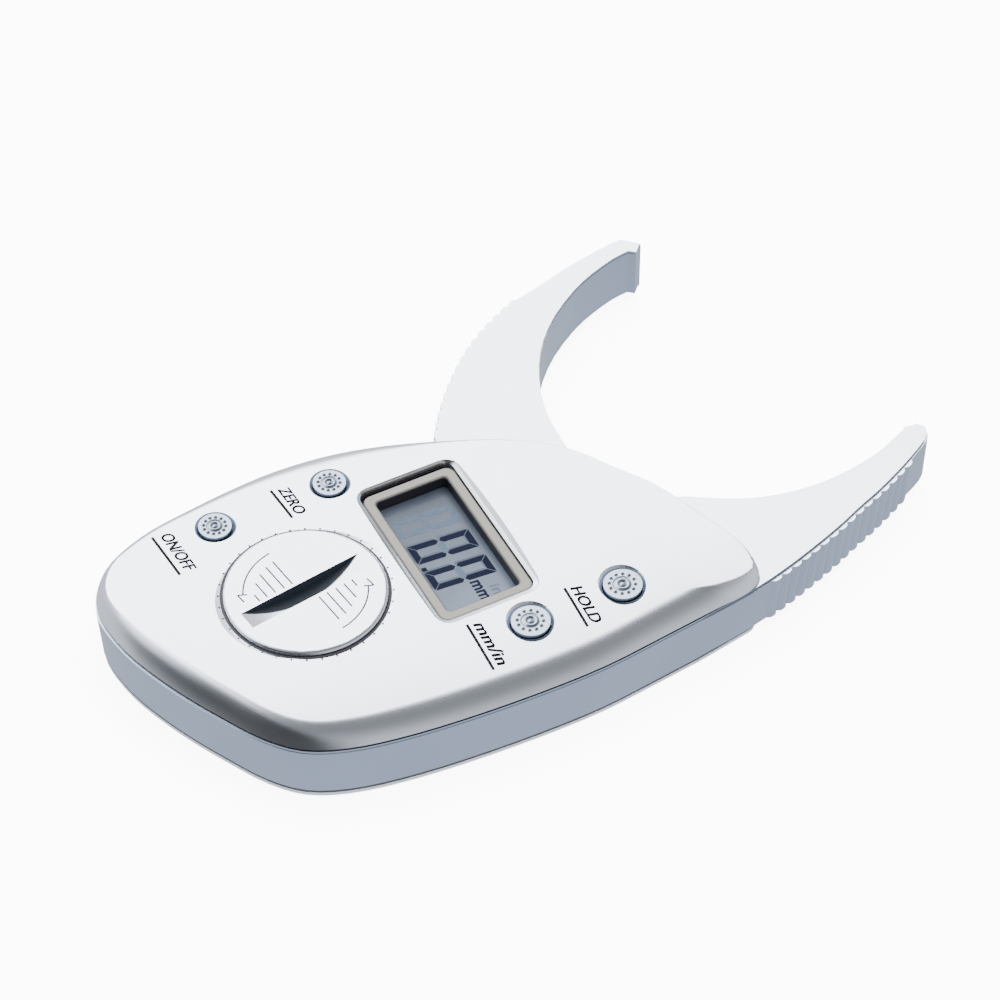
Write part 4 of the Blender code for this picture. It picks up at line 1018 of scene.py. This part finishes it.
class CALIPER_OT_add_lid_marks(Operator):
    """Add the grip lines and turning arrows on the battery lid and the dots round it"""

    bl_idname = "caliper.add_lid_marks"
    bl_label = "Add lid marks"

    def execute(self, context):
        colours = context.scene.caliper_colours
        sizes = context.scene.caliper_sizes
        width = sizes.line_width
        # Painted shade: the grooves and dimples are drawn as dark flat marks.
        line = printed_ink("moulded_line_in_plating", colours.line, 0.4)
        low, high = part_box("battery_cover")
        centre = middle_of(low, high)
        along = polar((0, 0), 1.0, SLOT_TURN)
        across = Vector((along.y, -along.x))
        radius = ARROW_RADIUS * MM
        loops = []
        for side, turn in ((1, 0), (-1, 180)):
            for spot in LINE_SPOTS:
                reach = math.sqrt(LINE_REACH**2 - spot**2)
                start = centre + (along * spot + across * LINE_START) * side * MM
                end = centre + (along * spot + across * reach) * side * MM
                loops.append(bar_loop(start, end, width))
            loops.append(arc_loop(centre, radius, ARROW_START + turn, ARROW_END + turn, width))
            tip = polar(centre, radius, ARROW_TIP + turn)
            outer = polar(centre, radius + BARB_OUT, BARB_TURN + turn)
            inner = polar(centre, radius - BARB_IN, BARB_TURN + turn)
            loops.append(bar_loop(outer, tip, width))
            loops.append(bar_loop(inner, outer, width))
        bm = flat_loops(loops)
        lay_on(bm, surface_of("battery_cover"), sizes.print_lift, LID_STEP)
        for vert in bm.verts:
            vert.co.z = min(vert.co.z, high[2])
        show("lid_marks", finish_mesh("lid_marks", bm), line, "battery_lid")
        dots = []
        for i in range(sizes.dot_count):
            spot = polar(centre, sizes.dot_ring, 360 * (i + 0.5) / sizes.dot_count)
            dots.append([polar(spot, sizes.dot_radius, 45 * k) for k in range(8)])
        bm = flat_loops(dots)
        lay_on(bm, surface_of("top_cover"), sizes.print_lift, DOT_STEP)
        show("lid_dots", finish_mesh("lid_dots", bm), line, "housing")
        return {"FINISHED"}


# Display, with places in mm

LEAN = 0.085
DIGIT_LEFT = [-10.35, -4.05, 2.25]
DIGIT_FOOT = -18.95
POINT_LEFT = 1.15
POINT_SIZE = 0.85
SHADOW_DROP = (-0.45, -0.3)
SHADOW_DEPTH = 0.72
UNIT_HEIGHT = 1.6 * MM
UNIT_SHEAR = 0.1
LIT_UNIT = ("mm", (7.45, -13.3), (11.9, -13.3), 0.03)
UNLIT_UNIT = ("in", (9.6, -10.8), (11.9, -10.8), 0.02)
LIT_LIFT = 0.03 * MM
UNLIT_LIFT = 0.02 * MM
SHADOW_LIFT = 0.012 * MM


def digit_loops(width, height, thick, gap, wanted):
    """Seven mitred segments of a digit, lower left at zero, as loops."""
    mid = height / 2
    cut = thick / 2
    found = {
        "a": [
            (gap, height),
            (width - gap, height),
            (width - thick - gap, height - thick),
            (thick + gap, height - thick),
        ],
        "f": [
            (0, height - gap),
            (thick, height - thick - gap),
            (thick, mid + cut + gap),
            (cut, mid + gap),
            (0, mid + cut),
        ],
        "g": [
            (cut + gap, mid),
            (thick + gap, mid + cut),
            (width - thick - gap, mid + cut),
            (width - cut - gap, mid),
            (width - thick - gap, mid - cut),
            (thick + gap, mid - cut),
        ],
    }
    found["d"] = [(x, height - y) for x, y in found["a"]]
    found["e"] = [(x, height - y) for x, y in found["f"]]
    found["b"] = [(width - x, y) for x, y in found["f"]]
    found["c"] = [(width - x, y) for x, y in found["e"]]
    return [found[key] for key in wanted]


def placed(loops, left, shift=(0.0, 0.0)):
    """A digit's loops at their place in the display, leaning to the right."""
    moved = []
    for loop in loops:
        spots = []
        for x, y in loop:
            across = left * MM + x + LEAN * y + shift[0] * MM
            spots.append((across, DIGIT_FOOT * MM + y + shift[1] * MM))
        moved.append(spots)
    return moved


def unit_mesh(words, left, right, weight):
    ends = Vector(left) * MM, Vector(right) * MM
    return word_mesh(words, *ends, UNIT_HEIGHT, UNIT_SHEAR, weight)


def show_sheet(name, parts, material, height):
    """Shows flat meshes as one sheet at a height."""
    bm = bmesh.new()
    for part in parts:
        add_flat(bm, part)
    for vert in bm.verts:
        vert.co.z = height
    show(name, finish_mesh(name, bm), material, "housing")


class CALIPER_OT_add_display(Operator):
    """Draw the reading, its shadow and the unlit segments in the display"""

    bl_idname = "caliper.add_display"
    bl_label = "Add display reading"

    def execute(self, context):
        colours = context.scene.caliper_colours
        sizes = context.scene.caliper_sizes
        glass_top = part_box("lcd_glass")[1][2]
        lit = printed_ink("lit_liquid_crystal", colours.segment)
        unlit = printed_ink("unlit_liquid_crystal", colours.ghost)
        shade_colour = [SHADOW_DEPTH * c for c in colours.glass]
        shade = printed_ink("segment_shadow_on_reflector", shade_colour)
        blank, tens, ones = DIGIT_LEFT

        def digit(wanted, left, shift=(0.0, 0.0)):
            measures = sizes.digit_width, sizes.digit_height, sizes.segment_width
            return placed(digit_loops(*measures, sizes.segment_gap, wanted), left, shift)

        side = POINT_SIZE * MM
        point = [(0, 0), (side, 0), (side, side), (0, side)]
        loops = digit("abcdef", tens) + digit("abcdef", ones) + placed([point], POINT_LEFT)
        parts = [flat_loops(loops), unit_mesh(*LIT_UNIT)]
        show_sheet("reading", parts, lit, glass_top + LIT_LIFT)
        loops = digit("abcdef", tens, SHADOW_DROP) + digit("abcdef", ones, SHADOW_DROP)
        show_sheet("reading_shadow", [flat_loops(loops)], shade, glass_top + SHADOW_LIFT)
        loops = digit("abcdefg", blank) + digit("g", tens) + digit("g", ones)
        parts = [flat_loops(loops), unit_mesh(*UNLIT_UNIT)]
        show_sheet("unlit_segments", parts, unlit, glass_top + UNLIT_LIFT)
        return {"FINISHED"}


# Stage: the floor, the camera's aim, the lamp and the world's light by direction

FLOOR_DROP = 0.1 * MM
AIM_MM = (-3.335, -2.010, 16.8)
LAMP_SPOT = (0.1, 0.3, 1.4)
LAMP_WIDTH = 1.6
LAMP_POWER = 90.0
WORLD_COLOUR = (0.90, 0.945, 1.0, 1.0)
TENT_SIDE = (-0.30, -0.04)
TENT_EDGES = (
    ("Y", -0.75, -0.15, 0.35, 1.0),
    ("Y", 0.42, 0.62, 1.0, 0.05),
    ("Z", 0.05, 0.45, 0.12, 1.0),
    ("Z", 0.87, 0.95, 1.0, 0.0),
)
ROOM_LIGHT = (0.1, 0.92, 1.0, 0.27)
FLAG_SIDE = (0.45, -0.89, 0.0)
FLAG_EDGE = (0.52, 0.78, 0.0, 0.92)
FLAG_FOOT = (-0.55, -0.35, 0.0, 1.0)


def light_world(scene, tent_light):
    """A bright tent on the far side, a room that darkens upwards, and a dark flag on the near side.

    The flat faces mirror the tent, the rolled edges the room, and the near corner's roll the flag.
    """
    world = bpy.data.worlds.new("studio")
    scene.world = world
    world.use_nodes = True
    tree = world.node_tree
    ground = tree.nodes["Background"]
    place = add_node(tree, "ShaderNodeTexCoord").outputs["Generated"]
    split = add_node(tree, "ShaderNodeSeparateXYZ", {"Vector": place})

    def ramp(socket, start, end, low, high):
        return ranged(tree, socket, start, end, low, high, interpolation_type="SMOOTHSTEP")

    tent = ramp(split.outputs["X"], *TENT_SIDE, tent_light, 0.0)
    for axis, *edge in TENT_EDGES:
        tent = maths(tree, "MULTIPLY", tent, ramp(split.outputs[axis], *edge))
    beside = ramp(vector_maths(tree, "DOT_PRODUCT", place, FLAG_SIDE), *FLAG_EDGE)
    flag = maths(tree, "MULTIPLY", beside, ramp(split.outputs["Z"], *FLAG_FOOT))
    room = ramp(split.outputs["Z"], *ROOM_LIGHT)
    room = maths(tree, "MULTIPLY", room, maths(tree, "SUBTRACT", 1.0, flag))
    tree.links.new(maths(tree, "MAXIMUM", tent, room), ground.inputs["Strength"])
    ground.inputs["Color"].default_value = WORLD_COLOUR


def add_camera(scene, studio):
    """The camera at the photograph's viewing angle."""
    reach = math.cos(studio.elevation)
    across, ahead = math.cos(studio.azimuth), math.sin(studio.azimuth)
    back = Vector((ahead * reach, -across * reach, math.sin(studio.elevation)))
    level = Vector((across, ahead, 0.0))
    upright = back.cross(level)
    right = level * math.cos(studio.roll) + upright * math.sin(studio.roll)
    up = upright * math.cos(studio.roll) - level * math.sin(studio.roll)
    lens = bpy.data.cameras.new("camera")
    lens.lens = studio.lens
    lens.sensor_width = 36.0
    lens.clip_start = 0.01
    lens.clip_end = 20.0
    camera = bpy.data.objects.new("camera", lens)
    scene.collection.objects.link(camera)
    place = Matrix((right, up, back)).transposed().to_4x4()
    place.translation = Vector(AIM_MM) * MM + back * studio.distance
    camera.matrix_world = place
    scene.camera = camera


class CALIPER_OT_set_stage(Operator):
    """Set the pale floor, the soft studio light and the camera"""

    bl_idname = "caliper.set_stage"
    bl_label = "Set stage"

    def execute(self, context):
        scene = context.scene
        studio = scene.caliper_studio
        half = studio.floor_size / 2
        bm = bmesh.new()
        corners = [(-half, -half), (half, -half), (half, half), (-half, half)]
        bm.faces.new([bm.verts.new((x, y, -FLOOR_DROP)) for x, y in corners])
        floor = bpy.data.objects.new("floor", finish_mesh("floor", bm))
        scene.collection.objects.link(floor)
        # The table glows white under the caliper, but the plating doesn't mirror it.
        material, tree, shader = start_material("opal_acrylic_light_table")
        white = linear("FFFFFF")
        set_sockets(shader, colour=linear("F6F6F7"), rough=0.9)
        set_sockets(shader, glow_colour=white, glow=studio.table_glow)
        floor.data.materials.append(material)
        floor.visible_glossy = False

        light = bpy.data.lights.new("overhead", "AREA")
        light.shape = "RECTANGLE"
        light.size = LAMP_WIDTH
        light.size_y = LAMP_WIDTH
        light.energy = LAMP_POWER
        lamp = bpy.data.objects.new("overhead", light)
        scene.collection.objects.link(lamp)
        lamp.location = LAMP_SPOT
        lamp.rotation_euler = (-Vector(LAMP_SPOT)).to_track_quat("-Z", "Y").to_euler()
        lamp.visible_glossy = False

        add_camera(scene, studio)
        light_world(scene, studio.tent_light)
        return {"FINISHED"}


STEPS = [
    CALIPER_OT_set_stage,
    CALIPER_OT_finish_shell,
    CALIPER_OT_finish_inside,
    CALIPER_OT_add_liners,
    CALIPER_OT_add_key_caps,
    CALIPER_OT_add_key_names,
    CALIPER_OT_add_lid_marks,
    CALIPER_OT_add_display,
]


class CALIPER_PT_finishes(Panel):
    """Sizes and colours of the caliper, and the steps that dress it"""

    bl_idname = "CALIPER_PT_finishes"
    bl_label = "Skinfold caliper"
    bl_space_type = "VIEW_3D"
    bl_region_type = "UI"
    bl_category = "Caliper"

    def draw(self, context):
        layout = self.layout
        for name, kind in GROUPS:
            group = getattr(context.scene, name)
            column = layout.column(align=True)
            for prop in group.bl_rna.properties.keys():
                if prop not in ("rna_type", "name"):
                    column.prop(group, prop)
        for step in STEPS:
            layout.operator(step.bl_idname)


GROUPS = [
    ("caliper_colours", CaliperColours),
    ("caliper_sizes", CaliperSizes),
    ("caliper_studio", CaliperStudio),
]


def register():
    for name, group in GROUPS:
        bpy.utils.register_class(group)
        setattr(bpy.types.Scene, name, PointerProperty(type=group))
    for step in STEPS:
        bpy.utils.register_class(step)
    bpy.utils.register_class(CALIPER_PT_finishes)


def unregister():
    bpy.utils.unregister_class(CALIPER_PT_finishes)
    for step in reversed(STEPS):
        bpy.utils.unregister_class(step)
    for name, group in reversed(GROUPS):
        delattr(bpy.types.Scene, name)
        bpy.utils.unregister_class(group)


def main():
    register()
    bpy.ops.caliper.set_stage()
    bpy.ops.caliper.finish_shell()
    bpy.ops.caliper.finish_inside()
    bpy.ops.caliper.add_liners()
    bpy.ops.caliper.add_key_caps()
    bpy.ops.caliper.add_key_names()
    bpy.ops.caliper.add_lid_marks()
    bpy.ops.caliper.add_display()


if __name__ == "__main__":
    main()
